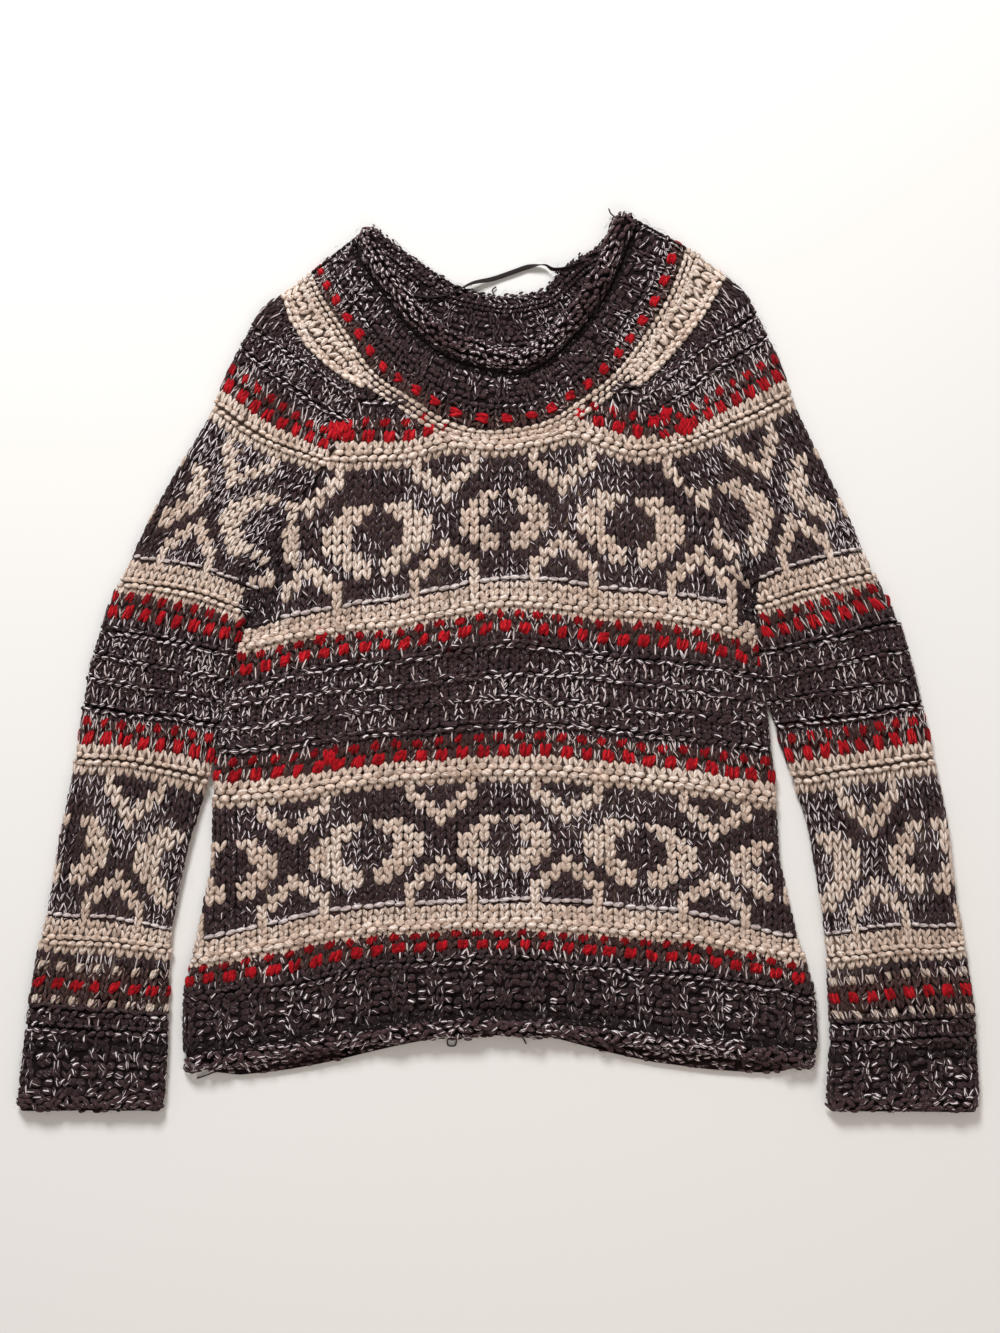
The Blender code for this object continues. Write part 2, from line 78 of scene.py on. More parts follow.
# Rows across the body, at seven places from the left to the right.
# (name, row, left edge x, right edge x, heights y at STATIONS)
STATIONS = (-232.5, -154.5, -76.5, 1.5, 79.5, 157.5, 235.5)
BODY_ROWS = (
    ("upper beige ridge", 0, -232.5, 227.5, 150.5, 161.5, 162.5, 171.0, 174.0, 169.5, 174.0),
    ("upper dash row", 16, -201.0, 201.0, 18.0, 38.0, 51.5, 66.5, 60.0, 50.5, 29.5),
    ("beige ridge under it", 19, -203.5, 203.0, 10.0, 23.5, 34.5, 47.5, 43.0, 33.5, 10.0),
    ("dark ridge 1", 24, -213.0, 208.0, -29.0, -8.0, 2.5, 14.0, 5.5, -2.5, -21.0),
    ("dark ridge 2", 28, -215.5, 210.0, -38.0, -24.0, -18.0, -8.5, -11.5, -21.0, -38.0),
    ("dark ridge 3", 32, -219.0, 212.0, -56.0, -43.0, -33.5, -26.5, -34.5, -40.5, -56.0),
    ("dark ridge 4", 36, -220.5, 213.0, -68.0, -61.0, -53.0, -46.0, -50.0, -58.5, -68.0),
    ("lower beige ridge", 41, -222.5, 216.0, -103.5, -99.0, -86.5, -84.0, -86.0, -96.5, -108.5),
    ("lower dash row", 57, -235.0, 233.0, -214.5, -198.0, -187.0, -185.0, -186.5, -196.5, -214.5),
    ("beige ridge at hem", 60, -238.0, 238.0, -229.5, -214.5, -203.5, -202.5, -205.0, -213.0, -226.0),
    ("first hem ridge", 65, -245.0, 247.0, -259.5, -249.0, -234.0, -231.0, -236.5, -244.0, -258.0),
    ("top of the roll", 73, -245.5, 249.0, -304.5, -293.5, -282.0, -278.0, -283.5, -292.0, -302.5),
    ("rolled edge", 75, -243.0, 245.0, -318.0, -306.5, -296.0, -289.5, -297.0, -304.5, -315.5),
)
BODY_CENTRE = 4.65
# Width of one stitch of the body by its row.
# (row, width)
BODY_PITCH = ((-10, 7.4), (0, 7.5), (16, 7.7), (36, 7.9), (41, 8.2), (64, 8.2))
UNDERARM_ROW = 13.5
HEM_ROLL_ROW = 73
BODY_COLUMNS = 36
HEM_COLUMNS = 72

# Where the neckband pulls the upper beige ridge out of its line.
# (x, extra height, width)
UPPER_WAVES = (
    (-115.0, -1.5, 18.0),
    (-40.0, 6.0, 23.0),
    (8.0, -2.6, 14.0),
    (58.0, 6.6, 16.0),
    (110.0, -6.5, 23.0),
)
WAVE_ROWS = 7.0

# Rows across the sleeves, from the outer fold over the middle to the inner side.
# (name, row, outer x, y, middle x, y, inner x, y, motif centre from the outer fold, stitch width)
SLEEVE_LEFT_ROWS = (
    ("neckband seam", -19, -146.5, 298.0, -125.0, 260.5, -98.5, 222.5, 43.0, 6.2),
    ("wide stripe's outer edge", -15, -166.0, 290.0, -147.5, 250.5, -106.0, 216.0, 43.0, 6.2),
    ("second yoke ridge", -10, -192.5, 263.5, -154.5, 236.5, -109.0, 205.0, 43.0, 6.2),
    ("first yoke ridge", -6, -201.5, 248.0, -166.0, 220.0, -117.0, 189.5, 43.0, 6.2),
    ("upper beige ridge", 0, -223.0, 203.0, -182.0, 176.5, -133.5, 156.0, 43.0, 6.2),
    ("upper dash row", 16, -286.5, 83.5, -238.0, 75.5, -187.0, 58.5, 40.0, 6.0),
    ("beige ridge under it", 19, -294.0, 63.0, -243.5, 56.0, -192.0, 40.0, 42.0, 6.2),
    ("dark ridge 1", 24, -311.0, 26.5, -256.5, 17.0, -203.0, 7.0, 44.0, 6.4),
    ("dark ridge 2", 28, -316.0, 8.0, -261.5, -3.0, -208.5, -13.0, 46.0, 6.5),
    ("dark ridge 3", 32, -320.0, -10.0, -266.0, -20.0, -213.0, -29.5, 48.0, 6.6),
    ("dark ridge 4", 36, -325.5, -32.5, -271.5, -40.0, -217.5, -47.5, 49.0, 6.8),
    ("lower beige ridge", 41, -331.0, -74.0, -277.5, -79.0, -225.5, -90.5, 50.5, 6.9),
    ("lower dash row", 57, -352.5, -195.0, -302.5, -199.0, -253.0, -208.0, 50.0, 6.9),
    ("beige ridge at the cuff", 60, -356.5, -213.5, -306.0, -217.5, -256.0, -223.0, 50.0, 6.9),
    ("beige checks", 63, -360.5, -235.0, -310.5, -238.5, -257.5, -243.5, 50.0, 7.3),
    ("first cuff ridge", 68, -367.5, -268.5, -313.5, -271.5, -258.0, -275.5, 50.0, 7.3),
    ("second cuff ridge", 70, -368.0, -283.0, -314.5, -285.5, -258.0, -288.0, 50.0, 6.9),
    ("end of the ribs", 77, -373.0, -333.0, -316.5, -334.5, -260.0, -336.0, 50.0, 6.9),
    ("wrist edge", 79, -374.0, -347.0, -318.0, -347.5, -263.0, -348.0, 50.0, 6.9),
)
SLEEVE_RIGHT_ROWS = (
    ("neckband seam", -19, 149.5, 317.5, 128.0, 277.5, 98.0, 228.0, 43.0, 6.2),
    ("wide stripe's outer edge", -15, 174.5, 304.0, 149.5, 260.0, 106.0, 217.5, 43.0, 6.2),
    ("second yoke ridge", -10, 201.0, 271.5, 157.5, 242.5, 112.5, 206.5, 43.0, 6.2),
    ("first yoke ridge", -6, 209.0, 254.5, 167.0, 227.0, 117.0, 193.5, 43.0, 6.2),
    ("upper beige ridge", 0, 229.5, 210.0, 179.5, 185.0, 128.0, 165.5, 43.0, 6.2),
    ("upper dash row", 16, 288.0, 90.5, 245.0, 81.0, 198.0, 62.5, 44.0, 6.1),
    ("beige ridge under it", 19, 298.0, 72.0, 251.0, 61.0, 200.5, 44.5, 46.0, 6.2),
    ("dark ridge 1", 24, 314.5, 33.5, 259.0, 19.5, 204.5, 8.5, 49.0, 6.4),
    ("dark ridge 2", 28, 320.0, 10.0, 265.0, 1.0, 210.0, -13.0, 51.0, 6.5),
    ("dark ridge 3", 32, 325.0, -9.5, 270.0, -20.0, 213.0, -29.5, 52.0, 6.6),
    ("dark ridge 4", 36, 330.0, -32.0, 274.5, -40.5, 218.5, -47.5, 53.0, 6.8),
    ("lower beige ridge", 41, 343.0, -73.5, 286.0, -82.0, 229.5, -89.5, 55.5, 6.9),
    ("lower dash row", 57, 359.0, -204.5, 305.5, -205.0, 254.0, -211.5, 63.0, 6.9),
    ("beige ridge at the cuff", 60, 365.0, -220.5, 312.0, -224.0, 258.0, -230.0, 63.0, 6.9),
    ("beige checks", 63, 368.0, -239.5, 313.5, -243.5, 259.0, -249.0, 63.0, 7.3),
    ("first cuff ridge", 68, 373.0, -277.0, 316.5, -279.0, 260.5, -281.5, 63.0, 7.3),
    ("second cuff ridge", 70, 373.5, -291.0, 316.5, -293.0, 259.5, -295.5, 63.0, 6.9),
    ("end of the ribs", 77, 375.0, -334.5, 316.5, -336.0, 257.5, -337.0, 63.0, 6.9),
    ("wrist edge", 79, 373.0, -348.5, 316.0, -348.5, 258.0, -347.5, 63.0, 6.9),
)
SLEEVE_UNDERARM_ROW = 18.0
SLEEVE_COLUMNS = (-8, 30)
SLEEVE_CENTRE = 6
CUFF_COLUMNS = 16

# Neckband stations from the left shoulder fold to the right one.
# (seam x, seam y, free edge x, free edge y)
NECK_FRONT = (
    (-149.0, 300.5, -99.0, 340.0),
    (-137.5, 277.5, -94.5, 321.5),
    (-119.5, 251.0, -80.5, 299.5),
    (-100.5, 224.0, -63.0, 277.5),
    (-73.5, 204.5, -46.0, 261.5),
    (-42.0, 185.5, -24.0, 251.0),
    (1.0, 177.0, 0.0, 243.5),
    (41.5, 185.5, 18.0, 241.0),
    (72.5, 204.5, 36.0, 250.5),
    (99.0, 230.0, 50.5, 267.0),
    (119.5, 256.5, 66.5, 286.5),
    (137.5, 288.0, 81.0, 313.5),
    (150.5, 320.5, 96.0, 351.0),
)
NECK_BACK = (
    (-149.0, 300.5, -99.0, 340.0),
    (-135.5, 285.5, -89.5, 334.0),
    (-120.0, 271.5, -77.0, 324.5),
    (-104.5, 259.0, -61.5, 313.5),
    (-77.0, 243.5, -46.0, 303.5),
    (-38.0, 231.0, -29.0, 294.0),
    (1.0, 226.0, -8.0, 288.0),
    (36.0, 231.0, 15.5, 286.5),
    (71.0, 245.0, 36.0, 291.5),
    (102.0, 263.5, 45.0, 304.0),
    (121.5, 280.0, 57.0, 314.5),
    (138.0, 299.5, 78.0, 324.5),
    (150.5, 320.5, 96.0, 351.0),
)
NECK_COLUMNS = 72
# Height of the first column round the shoulder folds, and the step down to the next.
SHOULDER_TOP = 9.0
SHOULDER_STEP = 3.4
# Rows of the neckband from its seam to its free edge.
# (share of the way, stitch, yarn)
NECK_ROWS = (
    (-0.10, "edge", "oatmeal"),
    (-0.03, "edge", "oatmeal"),
    (0.04, "edge", "oatmeal"),
    (0.12, "knit", "brown"),
    (0.195, "neck dashes", "red"),
    (0.275, "knit", "charcoal"),
    (0.345, "purl", "charcoal"),
    (0.425, "rib", "charcoal"),
    (0.50, "rib", "charcoal"),
    (0.575, "rib", "charcoal"),
    (0.65, "rib", "charcoal"),
    (0.725, "shaded", "charcoal"),
    (0.79, "shaded", "charcoal"),
)
NECK_INSIDE_ROWS = (
    (0.86, "purl", "charcoal"),
    (0.80, "purl", "charcoal"),
    (0.73, "rib", "charcoal"),
    (0.655, "rib", "charcoal"),
    (0.58, "rib", "charcoal"),
    (0.505, "rib", "charcoal"),
    (0.43, "rib", "charcoal"),
    (0.36, "purl", "charcoal"),
    (0.29, "knit", "charcoal"),
)
# Lower edge of the hem band's back layer, which shows below the front near both sides.
# (x, y)
HEM_BACK_EDGE = (
    (-243.5, -310.5),
    (-226.0, -319.0),
    (-206.0, -322.0),
    (-170.0, -318.5),
    (-132.0, -311.5),
    (-90.0, -301.0),
    (-40.0, -291.0),
    (1.0, -288.0),
    (40.0, -292.0),
    (80.0, -302.5),
    (115.0, -311.0),
    (165.0, -317.5),
    (211.5, -320.5),
    (230.0, -317.5),
    (244.0, -309.0),
)
HEM_BACK_SPAN = (-243.0, 244.0)
HEM_BACK_STEP = 6.0
# The way that the very edge of the hem's back layer faces, and how much lower it lies.
HEM_EDGE_FACING = (0.0, -0.78, 0.62)
HEM_EDGE_DROP = 1.2

# The motif of circles and waves: half of its width, from the middle of one circle to the next.
# Beige stitches are o.
MOTIF = (
    "...o.....o....",
    "...oo...oo....",
    "....oo.oo.....",
    ".....ooo......",
    ".oo...o...ooo.",
    "..oo.....ooo..",
    "..ooo...ooo...",
    "...oo...ooo...",
    "..ooo...ooo...",
    ".ooo..o..ooo..",
    ".oo..ooo..ooo.",
    "....oo.oo..oo.",
    "...oo...oo....",
    "...o.....o....",
)
MOTIF_REPEAT = 26
LEG_COLUMNS = (3, 9)

# How each row is knitted, by its number.
# (first row, last row, stitch, yarn)
SHARED_ROWS = (
    (-9, -7, "knit", "charcoal"),
    (-6, -6, "purl ridge", "charcoal"),
    (-5, -4, "knit", "charcoal"),
    (-3, -3, "small checks", "red"),
    (-2, -2, "large checks", "red"),
    (-1, -1, "knit", "oatmeal"),
    (0, 0, "purl ridge", "oatmeal"),
    (1, 1, "knit", "oatmeal"),
    (2, 15, "motif", "oatmeal"),
    (16, 16, "dashes", "pale"),
    (17, 18, "knit", "oatmeal"),
    (19, 19, "purl ridge", "oatmeal"),
    (20, 20, "knit", "oatmeal"),
    (21, 21, "small checks", "red"),
    (22, 22, "large checks", "red"),
    (23, 23, "knit", "charcoal"),
    (24, 24, "purl ridge", "charcoal"),
    (25, 27, "knit", "charcoal"),
    (28, 28, "purl ridge", "charcoal"),
    (29, 31, "knit", "charcoal"),
    (32, 32, "purl ridge", "charcoal"),
    (33, 35, "knit", "charcoal"),
    (36, 36, "purl ridge", "charcoal"),
    (37, 37, "knit", "charcoal"),
    (38, 38, "small checks", "red"),
    (39, 39, "large checks", "red"),
    (40, 40, "knit", "oatmeal"),
    (41, 41, "purl ridge", "oatmeal"),
    (42, 42, "knit", "oatmeal"),
    (43, 56, "motif", "oatmeal"),
    (57, 57, "dashes", "pale"),
    (58, 59, "knit", "oatmeal"),
    (60, 60, "purl ridge", "oatmeal"),
    (61, 61, "knit", "oatmeal"),
)
BODY_LOWER_ROWS = (
    (62, 62, "small checks", "red"),
    (63, 63, "large checks", "red"),
    (64, 64, "knit", "charcoal"),
)
HEM_BAND_ROWS = (
    (65, 65, "purl ridge", "charcoal"),
    (66, 72, "rib", "charcoal"),
)
SLEEVE_LOWER_ROWS = (
    (62, 62, "knit", "charcoal"),
    (63, 63, "large checks", "oatmeal"),
    (64, 64, "knit", "brown"),
    (65, 65, "large checks", "red"),
    (66, 66, "knit", "brown"),
    (67, 67, "large checks", "oatmeal"),
)
# Tone of the rows of ribs that lie in the shade of a roll.
RIB_TONES = {71: 0.8, 72: 0.5}
CUFF_ROWS = (
    (68, 68, "purl ridge", "charcoal"),
    (69, 69, "knit", "charcoal"),
    (70, 70, "purl ridge", "charcoal"),
    (71, 77, "rib", "charcoal"),
)
SLEEVE_UPPER_ROWS = (
    (-19, -16, "loose knit", "oatmeal"),
    (-15, -15, "purl ridge", "oatmeal"),
    (-14, -11, "knit", "charcoal"),
    (-10, -10, "purl ridge", "charcoal"),
)

# Yarns: colour, colour in its hollows (painted shade), colour of the flecks, share of flecked strands, sheen
YARNS = {
    "charcoal": ((0.051, 0.027, 0.029), (0.021, 0.011, 0.012), (0.80, 0.72, 0.73), 0.24, 0.05),
    "oatmeal": ((0.655, 0.512, 0.424), (0.33, 0.230, 0.175), (0.82, 0.74, 0.68), 0.50, 0.10),
    "red": ((0.46, 0.006, 0.013), (0.14, 0.001, 0.004), (0.60, 0.020, 0.025), 0.22, 0.04),
    "brown": ((0.075, 0.036, 0.032), (0.024, 0.011, 0.010), (0.60, 0.52, 0.50), 0.22, 0.05),
    "pale": ((0.60, 0.51, 0.49), (0.30, 0.23, 0.22), (0.82, 0.77, 0.75), 0.50, 0.08),
}

# How far the strands of each yarn stray from their line.
UNEVEN = {"charcoal": 0.14, "oatmeal": 0.07, "red": 0.16, "brown": 0.16, "pale": 0.07}

# How much grains of one yarn differ in width, length and tone.
WIDTHS = (0.88, 1.14)
LENGTHS = (0.95, 1.10)
TONES = (0.86, 1.12)
# The shortest grain, and how far grains go round a fold.
SHORTEST = 1.5
LAST_TURN = 2.2

# Soft creases of the cloth, over those of the solids; troughs have a height below nothing.
# (name, x, y, end x, end y, width, height)
CREASES = (
    ("left underarm fold", -170.0, 110.0, -171.0, 32.0, 3.6, -4.8),
    ("left sleeve fold", -197.0, 74.0, -196.0, 30.0, 3.4, -4.6),
    ("left underarm swell", -184.0, 86.0, -184.0, 44.0, 7.0, 1.4),
    ("right underarm trough", 198.0, 92.0, 199.0, 28.0, 6.0, -4.2),
    ("right underarm bunch", 184.0, 86.0, 187.0, 62.0, 9.0, 2.8),
    ("left underarm bunch", -203.0, 92.0, -206.0, 66.0, 9.0, 2.0),
    ("left raglan seam", -132.0, 160.0, -168.0, 104.0, 6.0, -1.6),
    ("right raglan seam", 127.0, 168.0, 176.0, 100.0, 6.0, -1.6),
    ("left stripe end", -118.0, 214.0, -96.0, 196.0, 7.0, -1.8),
    ("right stripe end", 112.0, 214.0, 94.0, 200.0, 7.0, -1.5),
    ("left yoke swell", -170.0, 232.0, -132.0, 196.0, 14.0, 1.6),
    ("right yoke swell", 176.0, 240.0, 140.0, 204.0, 14.0, 1.4),
    ("left side ripple", -222.0, -60.0, -150.0, -78.0, 12.0, 1.4),
    ("left side dip", -218.0, -84.0, -140.0, -98.0, 10.0, -1.2),
    ("right side ripple", 206.0, -52.0, 150.0, -80.0, 12.0, 1.2),
    ("waist ripple", -60.0, -24.0, 40.0, -20.0, 16.0, 0.9),
    ("left elbow dip", -318.0, -20.0, -232.0, -36.0, 9.0, -1.3),
    ("left forearm ripple", -340.0, -150.0, -262.0, -140.0, 14.0, 1.1),
    ("right elbow dip", 322.0, -18.0, 238.0, -40.0, 9.0, -1.3),
    ("right forearm ripple", 348.0, -160.0, 270.0, -140.0, 14.0, 1.1),
    ("hem band ripple left", -150.0, -262.0, -120.0, -286.0, 14.0, 1.2),
    ("hem band ripple right", 128.0, -258.0, 150.0, -286.0, 14.0, 1.1),
)

# Hollows under the arms, where the stitches get painted shade: beige ones are laid in charcoal yarn and all
# are darkened.
# (left x, right x, lower y, upper y)
UNDERARM_HOLLOWS = (
    (-195.0, -168.0, 70.0, 98.0),
    (-196.0, -169.0, 30.0, 57.0),
    (-173.5, -168.0, 30.0, 108.0),
    (-199.0, -194.5, 28.0, 70.0),
    (187.0, 203.0, 30.0, 86.0),
)

# Painted shade: how far the tone of grains in the underarm hollows is darkened.
UNDERARM_PAINTED_SHADE = 0.62

# Beige stitches drawn askew under the arms.
# (name, x, y, count, step x, step y, height, lean)
DRAWN_IN = (
    ("left cluster", -191.0, 64.0, 3, 7.2, -0.6, 10.0, 0.6),
    ("left strokes above", -196.0, 88.0, 3, 6.6, -4.5, 8.0, 3.4),
    ("right loops", 182.0, 72.0, 3, 5.0, -5.5, 8.0, -2.2),
    ("left bar", -157.5, 104.0, 5, 0.0, -6.4, 8.4, 0.3),
)

# Big knots of red yarn.
# (x, y, size)
RED_KNOTS = (
    (-125.5, 180.5, 1.5),
    (-117.0, 184.0, 1.1),
    (-131.5, -75.0, 1.3),
    (129.5, 194.5, 1.2),
    (146.0, 184.5, 1.4),
    (121.0, 189.0, 1.1),
    (-137.0, 21.5, 1.1),
)

# Troughs and swells that follow the neckband, by the share of the way from its seam to its edge.
# (stations, share, width, height)
ROLL_CREASES = (
    (NECK_FRONT, 0.76, 4.6, -4.6),
    (NECK_FRONT, 0.92, 4.5, 3.0),
    (NECK_FRONT, 0.30, 3.0, -0.7),
)
HEM_TROUGH = (72.0, 4.5, -4.0)
HEM_TROUGH_HALF = 236.0

rng = np.random.default_rng(SEED)


def curve_through(xs, ys, x):
    """Values at x of a smooth curve through points, straight outside them."""
    xs = np.asarray(xs, float)
    ys = np.asarray(ys, float)
    x = np.asarray(x, float)
    slopes = np.gradient(ys, xs)
    i = np.clip(np.searchsorted(xs, x) - 1, 0, len(xs) - 2)
    run = xs[i + 1] - xs[i]
    t = (x - xs[i]) / run
    inside = np.clip(t, 0.0, 1.0)
    a = (1 + 2 * inside) * (1 - inside) ** 2
    b = inside * (1 - inside) ** 2
    c = inside**2 * (3 - 2 * inside)
    d = inside**2 * (inside - 1)
    value = a * ys[i] + b * run * slopes[i] + c * ys[i + 1] + d * run * slopes[i + 1]
    return value + (t - inside) * run * np.where(t > 1, slopes[i + 1], slopes[i])


def body_line(row, x):
    """Heights y of a body row at x."""
    rows = [line[1] for line in BODY_ROWS]
    i = int(np.clip(np.searchsorted(rows, row, side="right") - 1, 0, len(rows) - 2))
    share = (row - rows[i]) / (rows[i + 1] - rows[i])
    above = curve_through(STATIONS, BODY_ROWS[i][4:], x)
    below = curve_through(STATIONS, BODY_ROWS[i + 1][4:], x)
    waves = sum(height * np.exp(-(((x - place) / width) ** 2)) for place, height, width in UPPER_WAVES)
    return above + (below - above) * share + waves * math.exp(-((row / WAVE_ROWS) ** 2))


def from_line(x, y, start, end):
    """How far places are from a straight line, and how far along it: 0 to 1 between its ends."""
    run = np.array([end[0] - start[0], end[1] - start[1]])
    t = ((x - start[0]) * run[0] + (y - start[1]) * run[1]) / (run @ run)
    near = np.clip(t, 0.0, 1.0)
    return np.hypot(x - start[0] - run[0] * near, y - start[1] - run[1] * near), t


class ClothField:
    """The top of the cloth over the floor: its height, its slope and the piece there."""

    def __init__(self):
        points = []
        faces = []
        self.owners = []
        self.names = sorted(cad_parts)
        for number, name in enumerate(self.names):
            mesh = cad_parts[name].data
            start = len(points)
            points += [v.co / MM for v in mesh.vertices]
            faces += [tuple(start + i for i in p.vertices) for p in mesh.polygons]
            self.owners += [number] * len(mesh.polygons)
        self.tree = BVHTree.FromPolygons(points, faces)
        self.xs = np.arange(-FIELD_HALF[0], FIELD_HALF[0] + 0.1, FIELD_STEP)
        self.ys = np.arange(-FIELD_HALF[1], FIELD_HALF[1] + 0.1, FIELD_STEP)
        self.heights = np.full((len(self.xs), len(self.ys)), np.nan)
        for i, x in enumerate(self.xs):
            for j, y in enumerate(self.ys):
                hit = self.tree.ray_cast(Vector((x, y, ABOVE_ALL)), DOWN)
                if hit[0] is not None:
                    self.heights[i, j] = hit[0].z
        self.smooth(2)
        self.relief = self.creases(*np.meshgrid(self.xs, self.ys, indexing="ij"))

    def smooth(self, times, same_layer=1.6):
        """Average each height with its neighbours on the same layer of cloth."""
        for _ in range(times):
            old = self.heights.copy()
            total = np.zeros_like(old)
            count = np.zeros_like(old)
            for di in (-1, 0, 1):
                for dj in (-1, 0, 1):
                    near = np.roll(np.roll(old, di, 0), dj, 1)
                    with np.errstate(invalid="ignore"):
                        same = np.isfinite(near) & (np.abs(near - old) < same_layer)
                    total += np.where(same, near, 0.0)
                    count += same
            with np.errstate(invalid="ignore", divide="ignore"):
                self.heights = np.where(np.isfinite(old), total / count, np.nan)

    def creases(self, x, y):
        """Height of the soft creases and of the troughs beside the rolled edges."""
        total = 0.5 * np.sin(x / 19.0 + 1.4 * np.sin(y / 27.0)) * np.sin(y / 23.0 + x / 61.0)
        for _, x0, y0, x1, y1, width, height in CREASES:
            gap, t = from_line(x, y, (x0, y0), (x1, y1))
            fade = 0.35 + 0.65 * np.sin(np.pi * np.clip(t, 0.12, 0.88))
            total = total + height * fade * np.exp(-((gap / width) ** 2))
        for stations, share, width, height in ROLL_CREASES:
            line = [(a + (c - a) * share, b + (d - b) * share) for a, b, c, d in stations]
            gap = np.min([from_line(x, y, a, b)[0] for a, b in zip(line, line[1:])], axis=0)
            total = total + height * np.exp(-((gap / width) ** 2))
        row, width, height = HEM_TROUGH
        gap = y - body_line(row, x)
        return total + height * np.exp(-((gap / width) ** 2)) * (np.abs(x) < HEM_TROUGH_HALF)

    def height(self, x, y, layer=TOP_LAYER_TOP):
        """Height of the cloth's top; where there is none, the usual height of the layer."""
        upper = layer > LAYERS_PART
        fx = (np.asarray(x) + FIELD_HALF[0]) / FIELD_STEP
        fy = (np.asarray(y) + FIELD_HALF[1]) / FIELD_STEP
        i = np.clip(fx.astype(int), 0, len(self.xs) - 2)
        j = np.clip(fy.astype(int), 0, len(self.ys) - 2)
        total = np.zeros(np.shape(fx))
        weight = np.zeros(np.shape(fx))
        raised = np.zeros(np.shape(fx))
        for di in (0, 1):
            for dj in (0, 1):
                value = self.heights[i + di, j + dj]
                share = np.abs(1 - di - (fx - i)) * np.abs(1 - dj - (fy - j)) + 1e-6
                with np.errstate(invalid="ignore"):
                    good = np.isfinite(value) & (np.abs(value - layer) < (7.5 if upper else 3.0))
                    good &= (value > LAYERS_PART) if upper else (value < LAYERS_PART)
                total += np.where(good, value * share, 0.0)
                weight += np.where(good, share, 0.0)
                raised += self.relief[i + di, j + dj] * share
        flat = np.where(weight > 1e-5, total / np.maximum(weight, 1e-9), layer)
        return flat + (raised if upper else 0.0)

    def facing(self, x, y, layer=TOP_LAYER_TOP, step=2.0):
        """The direction that the cloth's top faces."""
        dx = (self.height(x + step, y, layer) - self.height(x - step, y, layer)) / (2 * step)
        dy = (self.height(x, y + step, layer) - self.height(x, y - step, layer)) / (2 * step)
        out = np.stack([-dx, -dy, np.ones_like(dx)], axis=-1)
        return out / np.linalg.norm(out, axis=-1, keepdims=True)

    def top_piece(self, x, y):
        """The name of the piece on top at a place, and its height."""
        hit = self.tree.ray_cast(Vector((x, y, ABOVE_ALL)), DOWN)
        if hit[0] is None:
            return None, 0.0
        return self.names[self.owners[hit[2]]], hit[0].z


field = ClothField()


def cloth_reach(x, y, step, pieces, farthest=12.0):
    """How far the cloth of some pieces goes on past a point, or stops short of it."""
    for reach in np.arange(farthest, -farthest, -0.5):
        if field.top_piece(x + step[0] * reach, y + step[1] * reach)[0] in pieces:
            return reach
    return 0.0


def wander(x, y):
    """Small drift of the stitches, as in cloth that has been worn and washed."""
    dx = 0.6 * np.sin(x / 17.0 + 2.1 * np.sin(y / 31.0)) + 0.5 * np.sin(y / 12.0 + x / 43.0)
    dy = 0.7 * np.sin(x / 23.0 + 1.3 * np.sin(y / 19.0)) + 0.4 * np.sin(x / 9.0 + y / 27.0)
    return dx, dy


def turned(s, low, high, fold_low, fold_high):
    """Places s along a row, bent round the folds at its ends: the place seen from above and the turn."""
    s = np.asarray(s, float)
    turn = np.zeros_like(s)
    seen = s.copy()
    if fold_high:
        over = s - (high - FOLD_RADIUS)
        bent = over > 0
        turn = np.where(bent, over / FOLD_RADIUS, turn)
        seen = np.where(bent, high - FOLD_RADIUS + FOLD_RADIUS * np.sin(over / FOLD_RADIUS), seen)
    if fold_low:
        over = (low + FOLD_RADIUS) - s
        bent = over > 0
        turn = np.where(bent, -over / FOLD_RADIUS, turn)
        seen = np.where(bent, low + FOLD_RADIUS - FOLD_RADIUS * np.sin(over / FOLD_RADIUS), seen)
    return seen, turn


def on_cloth(x, y, outward, turn, layer=TOP_LAYER_TOP):
    """Points and directions of the cloth's outside, from places seen from above and their turn."""
    inner = np.minimum(np.abs(turn), 1.0)
    high = field.height(x - outward[..., 0] * inner * 3, y - outward[..., 1] * inner * 3, layer)
    flat = np.abs(turn) < 1e-6
    facing = field.facing(x, y, layer)
    up = np.cos(turn)
    bent_z = FOLD_RADIUS + np.where(up > 0, (high - FOLD_RADIUS) * up, FOLD_RADIUS * up)
    z = np.where(flat, high, bent_z)
    side = np.abs(np.sin(turn))[..., None] * outward
    bent = np.concatenate([side, up[..., None]], axis=-1)
    facing = np.where(flat[..., None], facing, bent)
    return np.stack([x, y, z], axis=-1), facing


def sideways(x):
    """Directions away from the middle of the sweater, to its left or its right."""
    return np.stack([np.sign(x), np.zeros_like(x)], axis=-1)


def table_value(table, column, row):
    """A column of a table of rows at a row number, between its lines."""
    return float(curve_through([line[1] for line in table], [line[column] for line in table], row))


@functools.cache
def body_sides(row):
    """Where a row of the body meets its left and right folds."""
    low = table_value(BODY_ROWS, 2, row)
    high = table_value(BODY_ROWS, 3, row)
    if UNDERARM_ROW < row < HEM_ROLL_ROW:
        pieces = ("front", "back", "hem_band")
        low -= cloth_reach(low, float(body_line(row, low)), (-1.0, 0.0), pieces)
        high += cloth_reach(high, float(body_line(row, high)), (1.0, 0.0), pieces)
    return low, high


def place_body(row, k):
    """Points on the front for stitches k of a row."""
    pitch = float(np.interp(row, [r for r, _ in BODY_PITCH], [p for _, p in BODY_PITCH]))
    low, high = body_sides(row)
    folded = row > UNDERARM_ROW
    x, turn = turned(BODY_CENTRE + k * pitch, low, high, folded, folded)
    return *on_cloth(x, body_line(row, x), sideways(x), turn), turn


def place_free(y, x):
    """Points on the top of the cloth at x and y."""
    x = np.asarray(x, float)
    return *on_cloth(x, y + 0.0 * x, sideways(x), 0.0 * x), 0.0 * x


def place_hem(row, k):
    """Points on the hem band for its columns k."""
    low, high = body_sides(row)
    x, turn = turned(low + (high - low) * k / HEM_COLUMNS, low, high, True, True)
    return *on_cloth(x, body_line(row, x), sideways(x), turn), turn


